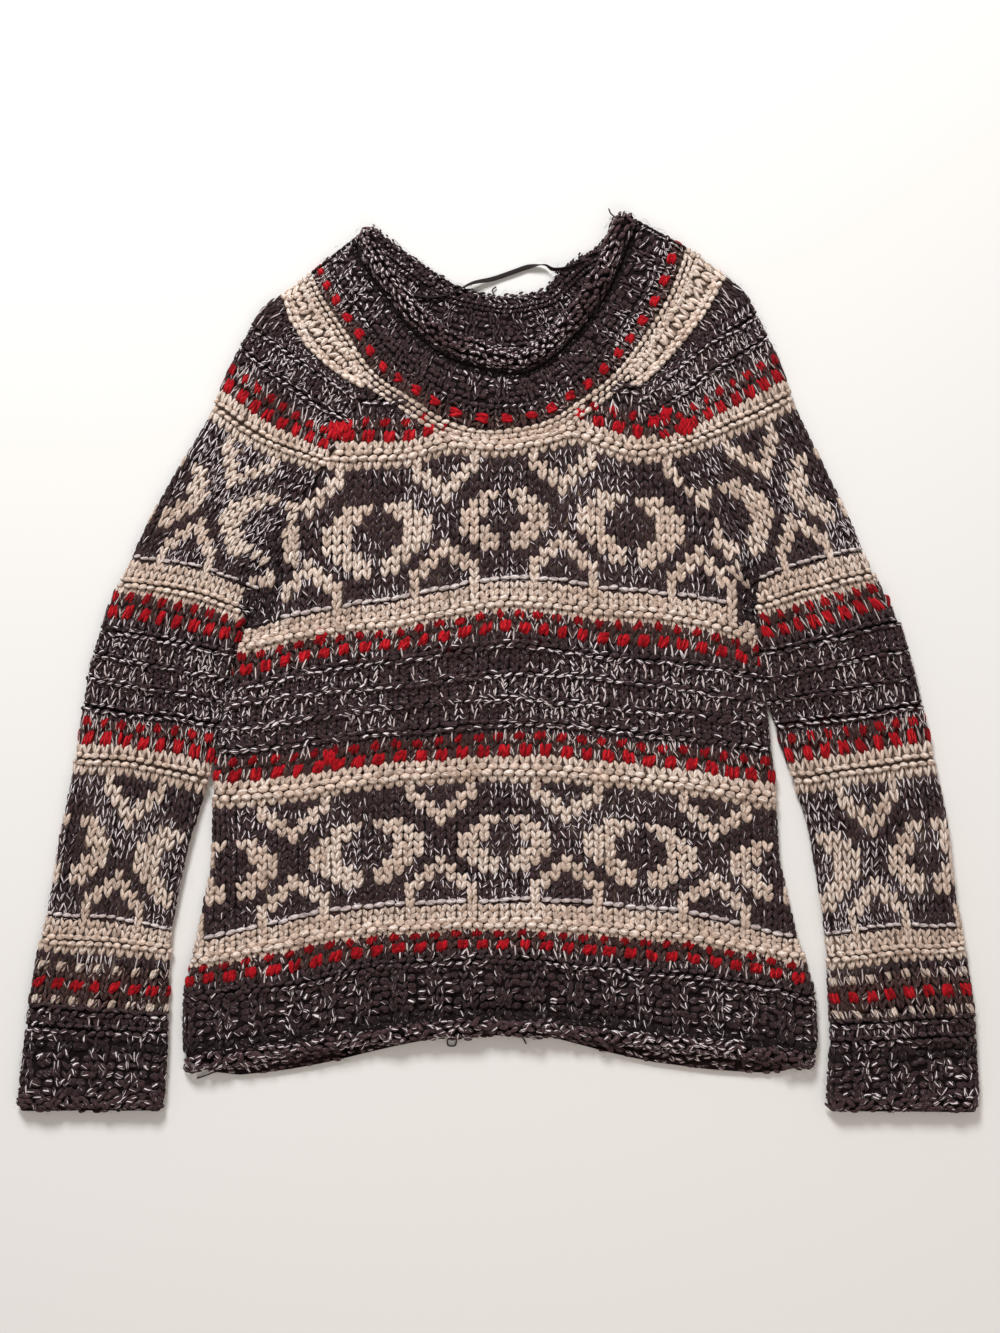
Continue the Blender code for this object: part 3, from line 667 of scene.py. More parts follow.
def place_hem_back(row, k):
    """Points on the inside of the hem band's back layer, in rows up from its lower edge."""
    low, high = HEM_BACK_SPAN
    x = low + (high - low) * k / HEM_COLUMNS
    y = curve_through([p[0] for p in HEM_BACK_EDGE], [p[1] for p in HEM_BACK_EDGE], x)
    outward = np.stack([np.zeros_like(x), -np.ones_like(x)], axis=-1)
    flat = np.zeros_like(x)
    points, facing = on_cloth(x, y + row * HEM_BACK_STEP, outward, flat, UNDER_LAYER_TOP)
    if row < 0.4:
        facing = np.zeros_like(facing) + HEM_EDGE_FACING
        points[..., 2] -= HEM_EDGE_DROP
    return points, facing, flat


@functools.cache
def row_ends(table, row):
    """The outer, middle and inner points of a sleeve's row, on the cloth's edges."""
    values = [table_value(table, column, row) for column in range(2, 10)]
    outer, middle, inner = np.array(values[0:2]), np.array(values[2:4]), np.array(values[4:6])
    along = (inner - outer) / np.linalg.norm(inner - outer)
    pieces = ("sleeve_left", "cuff_left", "sleeve_right", "cuff_right")
    outer = outer - along * cloth_reach(*outer, -along, pieces)
    if row > SLEEVE_UNDERARM_ROW:
        inner = inner + along * cloth_reach(*inner, along, pieces)
    return outer, middle, inner, values[6], values[7]


def row_length(table, row):
    """How long a row across a sleeve is."""
    outer, middle, inner, _, _ = row_ends(table, row)
    return np.linalg.norm(middle - outer) + np.linalg.norm(inner - middle)


def place_across(table, row, s, fold_inner):
    """Points across a sleeve at distances s from its outer fold."""
    outer, middle, inner, _, _ = row_ends(table, row)
    length = row_length(table, row)
    seen, turn = turned(s, 0.0, length, True, fold_inner)
    t = (seen / length)[..., None]
    half = np.linalg.norm(middle - outer) / length
    first = outer * (t - half) * (t - 1) / half
    second = middle * t * (t - 1) / (half * (half - 1))
    third = inner * t * (t - half) / (1 - half)
    spot = first + second + third
    along = (inner - outer) / np.linalg.norm(inner - outer)
    outward = np.where(turn[..., None] < 0, -along, along)
    return *on_cloth(spot[..., 0], spot[..., 1], outward, turn), turn


def sleeve_placer(table):
    """The function that places stitches k of a sleeve's rows."""

    def place(row, k):
        *_, centre, width = row_ends(table, row)
        return place_across(table, row, centre + (k - SLEEVE_CENTRE) * width, row > SLEEVE_UNDERARM_ROW)

    return place


def cuff_placer(table):
    """The function that places the columns k of a cuff."""

    def place(row, k):
        return place_across(table, row, row_length(table, row) * k / CUFF_COLUMNS, True)

    return place


def neck_placer(stations, layer):
    """The function that places the columns k of the neckband; its row is the share of the way."""
    last = len(stations) - 1
    columns = [[line[c] for line in stations] for c in range(4)]

    def place(row, k):
        u = np.clip(np.asarray(k, float) / NECK_COLUMNS * last, 0, last)
        seam_x, seam_y, edge_x, edge_y = (curve_through(range(last + 1), c, u) for c in columns)
        x = seam_x + (edge_x - seam_x) * row
        y = seam_y + (edge_y - seam_y) * row
        points, facing = on_cloth(x, y, sideways(x), np.zeros_like(x), layer)
        past = np.maximum(-np.asarray(k, float), k - NECK_COLUMNS)
        run = np.stack([edge_x - seam_x, edge_y - seam_y], axis=-1)
        run = run / np.linalg.norm(run, axis=-1, keepdims=True)
        side = np.where(k < 0, 1.0, -1.0)[..., None]
        away = np.stack([-run[..., 1], run[..., 0], 0.0 * x], axis=-1) * side
        round_fold = points + away * 0.6
        round_fold[..., 2] = np.maximum(SHOULDER_TOP - SHOULDER_STEP * past, 1.0)
        folded = (past > 0)[..., None]
        turn = np.maximum(past, 0.0) * 0.5
        return np.where(folded, round_fold, points), np.where(folded, away, facing), turn

    return place


def roll_placer(place, row, step, radius, rise):
    """The function that places stitches round a rolled edge; its rows are degrees round the roll."""

    def place_round(degrees, k):
        point, facing, turn = place(row, k)
        inward = place(row - step, k)[0] - place(row + step, k)[0]
        inward -= facing * np.sum(inward * facing, axis=-1, keepdims=True)
        inward /= np.linalg.norm(inward, axis=-1, keepdims=True)
        angle = math.radians(degrees)
        centre = point - facing * rise * 0.6
        fat = (1.0 + 0.10 * np.sin(k * 0.83) + 0.07 * np.sin(k * 2.1 + 1.0))[..., None]
        spot = centre + inward * radius * fat * math.cos(angle) + facing * rise * fat * math.sin(angle)
        out = inward * math.cos(angle) + facing * math.sin(angle)
        return spot, out, turn

    return place_round


def motif_column(k):
    """The column of the motif's chart for stitches k, mirrored about the middle of a circle."""
    half = MOTIF_REPEAT // 2
    return np.abs((k + half) % MOTIF_REPEAT - half).astype(int)


class Stitches:
    """Grains of yarn for one piece, kept by yarn."""

    def __init__(self, place, keep, flecks=1.0, stray=1.0):
        self.place = place
        self.keep = keep
        self.flecks = flecks
        self.stray = stray
        self.grains = {yarn: [] for yarn in YARNS}

    def lay(
        self, yarn, start, end, width,
        lift=0.0, plump=0.8, tone=1.0, flecks=1.0, tilt=0.0, shift=None, stray=1.0,
    ):
        """Lay one grain of yarn for each pair of (row, columns) places; a tilt raises its start."""
        a, facing_a, turn_a = self.place(*start)
        b, facing_b, turn_b = self.place(*end)
        facing = facing_a + facing_b
        facing /= np.linalg.norm(facing, axis=-1, keepdims=True)
        a = a + facing * tilt
        b = b - facing * tilt
        turn = np.maximum(np.abs(turn_a), np.abs(turn_b))
        centre = (a + b) / 2 + facing * lift
        drift = np.stack(wander(centre[..., 0], centre[..., 1]), axis=-1)
        if shift is not None:
            drift = drift + shift
        centre[..., :2] += drift * (turn < 0.01)[..., None]
        along = b - a
        length = np.linalg.norm(along, axis=-1)
        along = along / np.maximum(length, 1e-6)[..., None]
        along = along + rng.normal(0.0, UNEVEN[yarn] * stray * self.stray, along.shape)
        width = width * np.ones_like(length) * rng.uniform(*WIDTHS, length.shape)
        size = np.stack([width, length * rng.uniform(*LENGTHS, length.shape), width * plump], axis=-1)
        seed = rng.uniform(0.0, 1.0, length.shape)
        tone = tone * rng.uniform(*TONES, length.shape)
        drawn = self.place is place_free
        for i in range(len(length)):
            if turn[i] < LAST_TURN and length[i] > SHORTEST and self.keep(centre[i], turn[i]):
                # Grains in the underarm hollows get painted shade: a darker tone, and beige or pale yarn
                # swapped for charcoal.
                hollow = not drawn and in_hollow(*centre[i][:2])
                beige_under_arms = hollow and yarn in ("oatmeal", "pale")
                shade = tone[i] * (UNDERARM_PAINTED_SHADE if hollow else 1.0)
                grain = (centre[i], along[i], facing[i], size[i], seed[i], shade, flecks * self.flecks)
                self.grains["charcoal" if beige_under_arms else yarn].append(grain)

    def take_in(self, other):
        """Add the grains of another layer of the same piece."""
        for yarn, grains in other.grains.items():
            self.grains[yarn] += grains

    def width(self, row, k):
        """The typical width of one stitch in a row."""
        a = self.place(row, np.asarray(k, float) - 0.5)[0]
        b = self.place(row, np.asarray(k, float) + 0.5)[0]
        return float(np.median(np.linalg.norm(b - a, axis=-1)))

    def height(self, row, k, step=1.0):
        """The typical height of a step of one row."""
        a = self.place(row - step / 2, np.asarray(k, float))[0]
        b = self.place(row + step / 2, np.asarray(k, float))[0]
        return float(np.median(np.linalg.norm(b - a, axis=-1)))

    def knit(self, row, k, yarn, lift=0.0, span=1.0, tone=1.0, flecks=1.0, stray=1.0):
        """Knit stitches: two legs that meet at the bottom, in front of the stitch below."""
        width = self.width(row, k) * (0.53 if yarn == "oatmeal" else 0.48)
        look = {"plump": 0.85, "tone": tone, "flecks": flecks, "tilt": 0.4, "stray": stray}
        shift = rng.normal(0.0, 0.3 * stray * self.stray, (len(k), 2))
        for side in (-1, 1):
            foot = (row + 0.68 * span, k + 0.02 * side)
            top = (row - 0.66 * span, k + 0.41 * side)
            self.lay(yarn, foot, top, width, lift, shift=shift, **look)

    def loose_knit(self, row, k, yarn):
        """Knit stitches of thick loose yarn, that lean every way."""
        width = self.width(row, k) * 0.66
        for side in (-1, 1):
            shift = rng.normal(0.0, 0.7, (len(k), 2))
            lean = rng.normal(0.0, 0.16, len(k))
            foot = (row + 0.70, k + 0.10 * side - lean)
            top = (row - 0.70, k + 0.48 * side + lean)
            self.lay(yarn, foot, top, width, 0.5, plump=0.9, tone=1.08, tilt=0.3, shift=shift)

    def purl(self, row, k, yarn, lift=0.0, tone=1.0, flecks=1.0, step=1.0):
        """Purl bumps: short grains that lie across."""
        thick = min(self.height(row, k, step), self.width(row, k)) * 0.90
        shift = rng.normal(0.0, 0.75 * self.stray, (len(k), 2))
        start = (row + 0.07 * step, k - 0.54)
        end = (row - 0.07 * step, k + 0.54)
        thick = thick * rng.uniform(0.8, 1.2, len(k))
        look = {"plump": 0.60, "tone": tone, "flecks": flecks, "stray": 2.0}
        self.lay(yarn, start, end, thick, lift, shift=shift, **look)

    def light_strands(self, row, k, share, lean=0.3):
        """Long thin light strands of the marl, along some of the stitches."""
        patch = np.sin(k * 0.31 + row * 0.9) + np.sin(k * 0.12 + row * 0.37 + 2.0)
        some = k[rng.random(len(k)) < share * (1.0 + 0.55 * patch)]
        if len(some):
            side = rng.choice((-1.0, 1.0), len(some))
            width = self.width(row, k) * 0.17
            shift = rng.normal(0.0, 0.9, (len(some), 2))
            foot = (row + 0.85, some + 0.05 * side)
            top = (row - 0.75, some + lean * side)
            look = {"plump": 1.0, "tone": 1.25, "tilt": 0.3, "stray": 2.0}
            self.lay("pale", foot, top, width, 1.4, shift=shift, **look)

    def ridge(self, row, k, yarn):
        """A raised ridge of two staggered rows of purl bumps; under a charcoal ridge, a darkened row of purl
        bumps as its painted shadow.
        """
        thick = self.width(row, k) * (0.72 if yarn == "oatmeal" else 0.56)
        uneven = 0.25 if yarn == "oatmeal" else 0.4
        look = {"plump": 0.95, "tone": 1.1, "stray": 1.4}
        for offset, across, flecks, lift in ((-0.36, 0.0, 0.6, 1.1), (0.34, 0.5, 3.0, 1.9)):
            shift = rng.normal(0.0, uneven, (len(k), 2))
            start = (row + offset + 0.10, k + across - 0.54)
            end = (row + offset - 0.10, k + across + 0.54)
            self.lay(yarn, start, end, thick, lift, flecks=flecks, shift=shift, **look)
        # Painted shadow: a sunken row of purl bumps darkened to tone 0.45 under the ridge.
        if yarn == "charcoal":
            self.purl(row + 0.95, k + 0.25, yarn, lift=-0.9, tone=0.45, flecks=0.3)

    def bobble(self, row, k, yarn, size, tone, lean):
        """A fat stitch of three slanted strands."""
        width = self.width(row, k) * 0.60
        for across, lift in ((-0.33, 0.3), (0.0, 1.0), (0.33, 0.4)):
            shift = rng.normal(0.0, 0.55, (len(k), 2))
            foot = (row + 0.74 * size, k + (across - lean) * size)
            top = (row - 0.74 * size, k + (across + lean) * size)
            shade = tone * rng.uniform(0.7, 1.1, len(k))
            self.lay(yarn, foot, top, width * size, lift, plump=0.85, tone=shade, shift=shift)

    def checks(self, row, k, yarn, large):
        """A bobble of yarn on every second stitch, with darker stitches between."""
        even = k[k % 2 == 0]
        odd = k[k % 2 == 1]
        if not large:
            self.knit(row - 0.1, k, "brown", lift=-0.2, span=1.1, tone=0.9, flecks=0.8)
            self.bobble(row - 0.5, even - 0.5, yarn, size=0.80, tone=0.66, lean=0.13)
            self.knit(row - 0.5, odd - 0.5, "brown", lift=0.2, span=1.1, tone=0.9, flecks=1.6)
            return
        self.bobble(row, even, yarn, size=0.80 if yarn == "oatmeal" else 1.0, tone=1.0, lean=0.16)
        if yarn == "oatmeal":
            thin = self.width(row, k) * 0.24
            foot = (row + 0.5, even - 0.1)
            top = (row - 0.5, even + 0.55)
            self.lay("brown", foot, top, thin, lift=2.2, plump=1.0, flecks=2.0)
        self.knit(row, odd, "brown", lift=0.3, span=1.1, flecks=2.2)

    def rib(self, row, k, yarn):
        """Two knit columns, then two purl columns."""
        tone = RIB_TONES.get(row, 1.0)
        self.knit(row, k[k % 4 < 2], yarn, lift=0.2, tone=tone, flecks=tone, stray=2.0)
        self.purl(row, k[k % 4 >= 2], yarn, tone=tone, flecks=tone)

    def motif(self, row, k, line):
        """A row of the motif in two colours."""
        beige = np.array([MOTIF[line][c] == "o" for c in motif_column(k)])
        self.knit(row, k[beige], "oatmeal", lift=0.3)
        self.knit(row, k[~beige], "charcoal", lift=-0.1)

    def dashes(self, row, k):
        """Pale dashes over dark stitches, with the motif's legs running through."""
        leg = np.isin(motif_column(k), LEG_COLUMNS)
        plain = k[~leg]
        width = self.width(row, k)
        self.knit(row, k[leg], "oatmeal", lift=0.3, span=1.15)
        self.knit(row - 0.2, plain, "charcoal", lift=-0.3)
        shift = rng.normal(0.0, 0.4, (len(plain), 2))
        start = (row + 0.02, plain - 0.56)
        end = (row - 0.12, plain + 0.56)
        self.lay("pale", start, end, width * 0.48, lift=1.3, plump=0.9, shift=shift)
        below = row + 0.48
        self.lay("brown", (below, plain - 0.5), (below, plain + 0.5), width * 0.4, lift=0.2, tone=0.6)

    def roll(self, place, turns, k, tone, flecks):
        """Rows of charcoal purl bumps round a rolled edge."""
        flat, keep = self.place, self.keep
        self.place = place
        self.keep = lambda centre, turn: True
        look = {"plump": 0.72, "tone": tone, "flecks": flecks, "stray": 2.4}
        for number, degrees in enumerate(turns):
            thick = min(self.width(degrees, k) * 0.78, 4.3)
            shifted = k + 0.5 * (number % 2)
            start = (degrees + 4.0, shifted - 0.56)
            end = (degrees - 4.0, shifted + 0.56)
            shift = rng.normal(0.0, 0.9, (len(k), 2))
            self.lay("charcoal", start, end, thick, shift=shift, **look)
        self.place, self.keep = flat, keep

    def knots(self, places):
        """Big knots of red: short strands heaped every way."""
        flat = self.place
        self.place = place_free
        for x, y, size in places:
            for turn in np.linspace(0.3, 5.2, 7):
                middle = (x + size * 2.6 * math.cos(turn), y + size * 1.5 * math.sin(turn))
                lean = np.array([1.6 * math.cos(turn * 1.7), 4.2 * size])
                start = (middle[1] - lean[1], np.array([middle[0] - lean[0]]))
                end = (middle[1] + lean[1], np.array([middle[0] + lean[0]]))
                self.lay("red", start, end, 3.2 * size, lift=1.4, tone=1.05)
        self.place = flat

    def beige_under_arms(self, clusters):
        """Short runs of beige stitches that are pulled askew under the arms."""
        flat = self.place
        self.place = place_free
        for _, x, y, count, step_x, step_y, height, lean in clusters:
            for number in range(count):
                middle = x + number * step_x
                foot = y + number * step_y
                for side in (-1, 1):
                    start = (foot - height / 2, np.array([middle - lean]))
                    end = (foot + height / 2, np.array([middle + lean + 2.4 * side]))
                    self.lay("oatmeal", start, end, 3.6, lift=1.2, plump=0.85, tone=0.86)
        self.place = flat

    def work(self, rows, k):
        """Knit all rows of a table."""
        for first, last, stitch, yarn in rows:
            if stitch == "loose knit":
                for row in np.arange(first, last + 0.9, 1.25):
                    self.loose_knit(float(row), np.arange(k[0], k[-1], 1.3), yarn)
                continue
            for row in range(first, last + 1):
                if stitch == "knit":
                    self.knit(row, k, yarn, flecks=0.60)
                    if yarn == "charcoal":
                        self.light_strands(row, k, share=0.30)
                elif stitch == "purl ridge":
                    self.ridge(row, k, yarn)
                elif stitch == "motif":
                    self.motif(row, k, row - first)
                elif stitch == "dashes":
                    self.dashes(row, k)
                elif stitch == "rib":
                    self.rib(row, k, yarn)
                else:
                    self.checks(row, k, yarn, stitch == "large checks")


def in_hollow(x, y):
    """Is a place in one of the hollows under the arms?"""
    return any(left < x < right and low < y < high for left, right, low, high in UNDERARM_HOLLOWS)


def keep_on(names, layer=TOP_LAYER_TOP):
    """Keep stitches that lie on some pieces, or round their folds."""

    def keep(centre, turn):
        if turn > 0:
            return True
        piece, height = field.top_piece(centre[0], centre[1])
        return piece in names and (height > LAYERS_PART) == (layer > LAYERS_PART)

    return keep


# Degrees round a rolled edge, from inside it over its top to the outside, and on beneath it.
ROLL_TURNS = (-30.0, 8.0, 46.0, 84.0, 122.0, 160.0, 198.0)
UNDER_TURNS = (232.0, 262.0)
HEM_BACK_ROWS = (0.2, 1.0, 1.9, 2.8)


def knit_front():
    stitches = Stitches(place_body, keep_on(("front",)), flecks=1.25)
    k = np.arange(-BODY_COLUMNS, BODY_COLUMNS + 1)
    stitches.work(SHARED_ROWS, k)
    stitches.keep = keep_on(("front", "hem_band"))
    stitches.work(BODY_LOWER_ROWS, k)
    stitches.keep = keep_on(("front", "sleeve_left", "sleeve_right"))
    stitches.knots(RED_KNOTS)
    stitches.beige_under_arms(DRAWN_IN)
    return stitches


def knit_hem_band():
    stitches = Stitches(place_hem, keep_on(("hem_band", "front")), flecks=0.9, stray=1.35)
    k = np.arange(-2, HEM_COLUMNS + 3)
    stitches.work(HEM_BAND_ROWS, k)
    # Painted shadow: a sunken row of purl bumps darkened to tone 0.35 beside the rolled edge.
    stitches.purl(72.7, k, "charcoal", lift=-1.2, tone=0.35, flecks=0.2)
    # Painted highlight: the grains round the rolled edge are brightened to tone 1.5; their extra flecks are
    # the yarn's own.
    edge = roll_placer(place_hem, row=74.1, step=0.4, radius=6.0, rise=5.2)
    stitches.roll(edge, ROLL_TURNS, k, tone=1.5, flecks=1.9)
    back = Stitches(place_hem_back, keep_on(("hem_band",), UNDER_LAYER_TOP), flecks=1.4, stray=1.3)
    # Painted light: the back layer's purl bumps are brightened to tone 1.7 where they lie in shadow; their
    # extra flecks are the yarn's own.
    for row in HEM_BACK_ROWS:
        back.purl(row, k, "charcoal", tone=1.7, flecks=1.5, step=0.7)
    stitches.take_in(back)
    return stitches


def knit_sleeve(name, cuff, table):
    stitches = Stitches(sleeve_placer(table), keep_on((name,)), flecks=2.3)
    k = np.arange(*SLEEVE_COLUMNS)
    stitches.work(SLEEVE_UPPER_ROWS + SHARED_ROWS, k)
    stitches.keep = keep_on((name, cuff))
    stitches.work(SLEEVE_LOWER_ROWS, k)
    return stitches


def knit_cuff(name, sleeve, table):
    place = cuff_placer(table)
    stitches = Stitches(place, keep_on((name, sleeve)), flecks=0.95, stray=1.7)
    k = np.arange(-2, CUFF_COLUMNS + 3)
    stitches.work(CUFF_ROWS, k)
    # Painted highlight: the grains round the rolled edge are brightened to tone 1.3; their extra flecks are
    # the yarn's own.
    edge = roll_placer(place, row=78.15, step=0.4, radius=5.6, rise=4.6)
    stitches.roll(edge, ROLL_TURNS, k, tone=1.3, flecks=1.6)
    return stitches


def neck_legs(share, k, side):
    """Start and end of one leg of the neckband's knit stitches."""
    return (share - 0.05, k + 0.05 * side), (share + 0.05, k + 0.35 * side)


def neck_knit(stitches, share, k, yarn, width):
    """Knit stitches of the neckband."""
    look = {"lift": 0.3, "tone": 1.1, "flecks": 1.4, "tilt": 0.3, "stray": 1.8}
    for side in (-1, 1):
        start, end = neck_legs(share, k, side)
        shift = rng.normal(0.0, 0.5, (len(k), 2))
        stitches.lay(yarn, start, end, width * 0.5, shift=shift, **look)


def neck_dashes(stitches, share, k, width):
    """Fat red dashes of three strands on every third stitch, with brown ones between."""
    marked = k[k % 3 == 1]
    between = k[k % 3 != 1]
    for across in (-0.026, 0.0, 0.026):
        start = (share + across, marked - 0.78)
        end = (share + across, marked + 0.78)
        shift = rng.normal(0.0, 0.4, (len(marked), 2))
        stitches.lay("red", start, end, width * 0.74, lift=1.1, shift=shift)
    for side in (-1, 1):
        start, end = neck_legs(share, between, side)
        stitches.lay("brown", start, end, width * 0.5, lift=0.2, flecks=1.5)


def neck_row(stitches, number, share, stitch, yarn, k):
    """One row of the neckband."""
    width = stitches.width(share, k)
    thick = min(stitches.height(share, k, 0.075), width) * 0.9
    if stitch == "neck dashes":
        neck_dashes(stitches, share, k, width)
    elif stitch == "knit":
        neck_knit(stitches, share, k, yarn, width)
    elif stitch == "rib":
        neck_knit(stitches, share, k[k % 4 < 2], yarn, width)
        hollow = k[k % 4 >= 2]
        shift = rng.normal(0.0, 0.8, (len(hollow), 2))
        look = {"plump": 0.6, "tone": 1.1, "stray": 2.0}
        stitches.lay(yarn, (share, hollow - 0.56), (share, hollow + 0.56), thick * 1.1, shift=shift, **look)
    else:
        across = k + 0.5 * (number % 2)
        lift, tone, flecks = (-0.8, 0.4, 0.4) if stitch == "shaded" else (0.9, 1.0, 1.4)
        start = (share - 0.008, across - 0.54)
        end = (share + 0.008, across + 0.54)
        stitches.lay(yarn, start, end, thick, lift, plump=0.9, tone=tone, flecks=flecks)


def knit_neckband():
    place = neck_placer(NECK_FRONT, TOP_LAYER_TOP)
    inside = neck_placer(NECK_BACK, UNDER_LAYER_TOP)
    over = ("neckband", "sleeve_left", "sleeve_right", "front")
    front = Stitches(place, keep_on(over), flecks=1.05, stray=1.3)
    back = Stitches(inside, keep_on(("neckband",), UNDER_LAYER_TOP), flecks=0.9, stray=1.3)
    k = np.arange(-2, NECK_COLUMNS + 3)
    for stitches, rows in ((front, NECK_ROWS), (back, NECK_INSIDE_ROWS)):
        for number, row in enumerate(rows):
            neck_row(stitches, number, *row, k)
    k = np.arange(0, NECK_COLUMNS + 1)
    # Painted highlight: the grains round the front roll are brightened to tone 1.75; their extra flecks are
    # the yarn's own.
    edge = roll_placer(place, row=0.905, step=0.03, radius=7.2, rise=6.6)
    front.roll(edge, ROLL_TURNS + UNDER_TURNS, k, tone=1.75, flecks=2.2)
    # Painted highlight: the grains round the inside roll are brightened to tone 1.2; their extra flecks are
    # the yarn's own.
    edge = roll_placer(inside, row=0.93, step=0.03, radius=4.6, rise=2.6)
    back.roll(edge, ROLL_TURNS[1:], k, tone=1.2, flecks=1.4)
    front.take_in(back)
    return front


def closed_mesh(name, points, faces):
    """A mesh whose faces all face outwards."""
    mesh = bpy.data.meshes.new(name)
    mesh.from_pydata(points, [], faces)
    shape = bmesh.new()
    shape.from_mesh(mesh)
    bmesh.ops.recalc_face_normals(shape, faces=shape.faces)
    shape.to_mesh(mesh)
    shape.free()
    return mesh


def add_object(name, data):
    """Put an object into the scene."""
    thing = bpy.data.objects.new(name, data)
    bpy.context.scene.collection.objects.link(thing)
    return thing


def grain_object():
    """One grain of yarn: a plump spindle, rounded above and flat below, one long and one wide."""
    rings = ((-0.36, 0.58), (-0.12, 0.94), (0.14, 1.0), (0.37, 0.66))
    section = ((0.5, -0.12), (0.36, 0.34), (0.0, 0.5), (-0.36, 0.34), (-0.5, -0.12))
    points = [(0.0, -0.5, -0.10)]
    places = [(0.5, 0.0)]
    for y, size in rings:
        for i, (x, z) in enumerate(section):
            points.append((x * size, y, z * size))
            places.append((i / (len(section) - 1), y + 0.5))
    points.append((0.0, 0.5, -0.10))
    places.append((0.5, 1.0))
    n = len(section)
    last = len(points) - 1
    faces = []
    for i in range(n):
        j = (i + 1) % n
        faces.append((0, 1 + j, 1 + i))
        for ring in range(len(rings) - 1):
            a = 1 + ring * n
            faces.append((a + i, a + j, a + n + j, a + n + i))
        a = 1 + (len(rings) - 1) * n
        faces.append((a + i, a + j, last))
    mesh = closed_mesh("grain of yarn", points, faces)
    mesh.shade_smooth()
    strand = mesh.uv_layers.new(name="strand")
    for loop in mesh.loops:
        strand.data[loop.index].uv = places[loop.vertex_index]
    return bpy.data.objects.new("grain of yarn", mesh)


def wisp_object():
    """One loose fibre: a thin bent spindle, one long."""
    rings = ((-0.20, 2.2, 3.4, 0.5), (0.18, 2.8, 3.0, 0.4))
    section = ((0.5, -0.3), (0.0, 0.6), (-0.5, -0.3))
    points = [(-1.0, -0.5, 0.0)]
    for y, across, high, size in rings:
        points += [(across + x * size, y, high + z * size) for x, z in section]
    points.append((-2.0, 0.5, 0.8))
    faces = []
    for i in range(3):
        j = (i + 1) % 3
        faces.append((0, 1 + j, 1 + i))
        faces.append((1 + i, 1 + j, 4 + j, 4 + i))
        faces.append((4 + i, 4 + j, 7))
    mesh = closed_mesh("loose fibre", points, faces)
    mesh.uv_layers.new(name="strand")
    return bpy.data.objects.new("loose fibre", mesh)


def loose_fibres(grains, share):
    """Loose fibres on some of the grains of a yarn, lying every way."""
    fibres = []
    picks = rng.random(len(grains))
    for (centre, _, facing, size, *_), pick in zip(grains, picks):
        if pick > share:
            continue
        side = rng.normal(0.0, 1.0, 3)
        side -= facing * (side @ facing) * 0.8
        side /= np.linalg.norm(side)
        thick = rng.uniform(0.24, 0.40)
        length = rng.uniform(5.0, 11.0)
        start = centre + facing * (size[2] * 0.42) + rng.normal(0.0, 1.0, 3) * (1.0, 1.0, 0.1)
        start[2] = max(start[2], 1.2)
        tone = rng.uniform(0.7, 1.3)
        fibres.append((start, side, facing, np.array((thick, length, thick)), pick / share, tone, 0.0))
    return fibres


def add_socket(tree, name, side, kind, default=None):
    """Add a named socket to a node group."""
    socket = tree.interface.new_socket(name, in_out=side, socket_type="NodeSocket" + kind)
    if default is not None:
        socket.default_value = default


def add_node(tree, kind, inputs=None, **settings):
    """Add a node with its settings; each input, by name or number, gets a value or a link."""
    node = tree.nodes.new(kind)
    for name, value in settings.items():
        setattr(node, name, value)
    for name, value in (inputs or {}).items():
        if isinstance(value, bpy.types.NodeSocket):
            tree.links.new(value, node.inputs[name])
        else:
            node.inputs[name].default_value = value
    return node


def stitch_tree():
    """Geometry nodes that set a grain of yarn on each point, turned along it."""
    tree = bpy.data.node_groups.new("grains of yarn on points", "GeometryNodeTree")
    add_socket(tree, "Geometry", "INPUT", "Geometry")
    add_socket(tree, "Grain", "INPUT", "Object")
    add_socket(tree, "Yarn", "INPUT", "Material")
    add_socket(tree, "Grain Size", "INPUT", "Float", 1.0)
    add_socket(tree, "Geometry", "OUTPUT", "Geometry")
    given = add_node(tree, "NodeGroupInput").outputs

    def named(name):
        inputs = {"Name": name}
        node = add_node(tree, "GeometryNodeInputNamedAttribute", inputs, data_type="FLOAT_VECTOR")
        return node.outputs["Attribute"]

    def aligned(vector, inputs, **settings):
        inputs = {**inputs, "Vector": vector}
        return add_node(tree, "FunctionNodeAlignRotationToVector", inputs, **settings).outputs["Rotation"]

    upright = aligned(named("facing"), {}, axis="Z")
    along = aligned(named("along"), {"Rotation": upright}, axis="Y", pivot_axis="Z")
    grain = add_node(tree, "GeometryNodeObjectInfo", {"Object": given["Grain"]})
    points = {
        "Points": given["Geometry"],
        "Instance": grain.outputs["Geometry"],
        "Rotation": along,
        "Scale": scaled(tree, named("size"), given["Grain Size"]),
    }
    scatter = add_node(tree, "GeometryNodeInstanceOnPoints", points)
    real = add_node(tree, "GeometryNodeRealizeInstances", {"Geometry": scatter.outputs["Instances"]})
    cover = {"Geometry": real.outputs["Geometry"], "Material": given["Yarn"]}
    painted = add_node(tree, "GeometryNodeSetMaterial", cover)
    add_node(tree, "NodeGroupOutput", {"Geometry": painted.outputs["Geometry"]})
    return tree


def set_input(modifier, tree, name, value):
    """Set a modifier's input by its socket's identifier."""
    for item in tree.interface.items_tree:
        if item.item_type == "SOCKET" and item.in_out == "INPUT" and item.name == name:
            modifier[item.identifier] = value


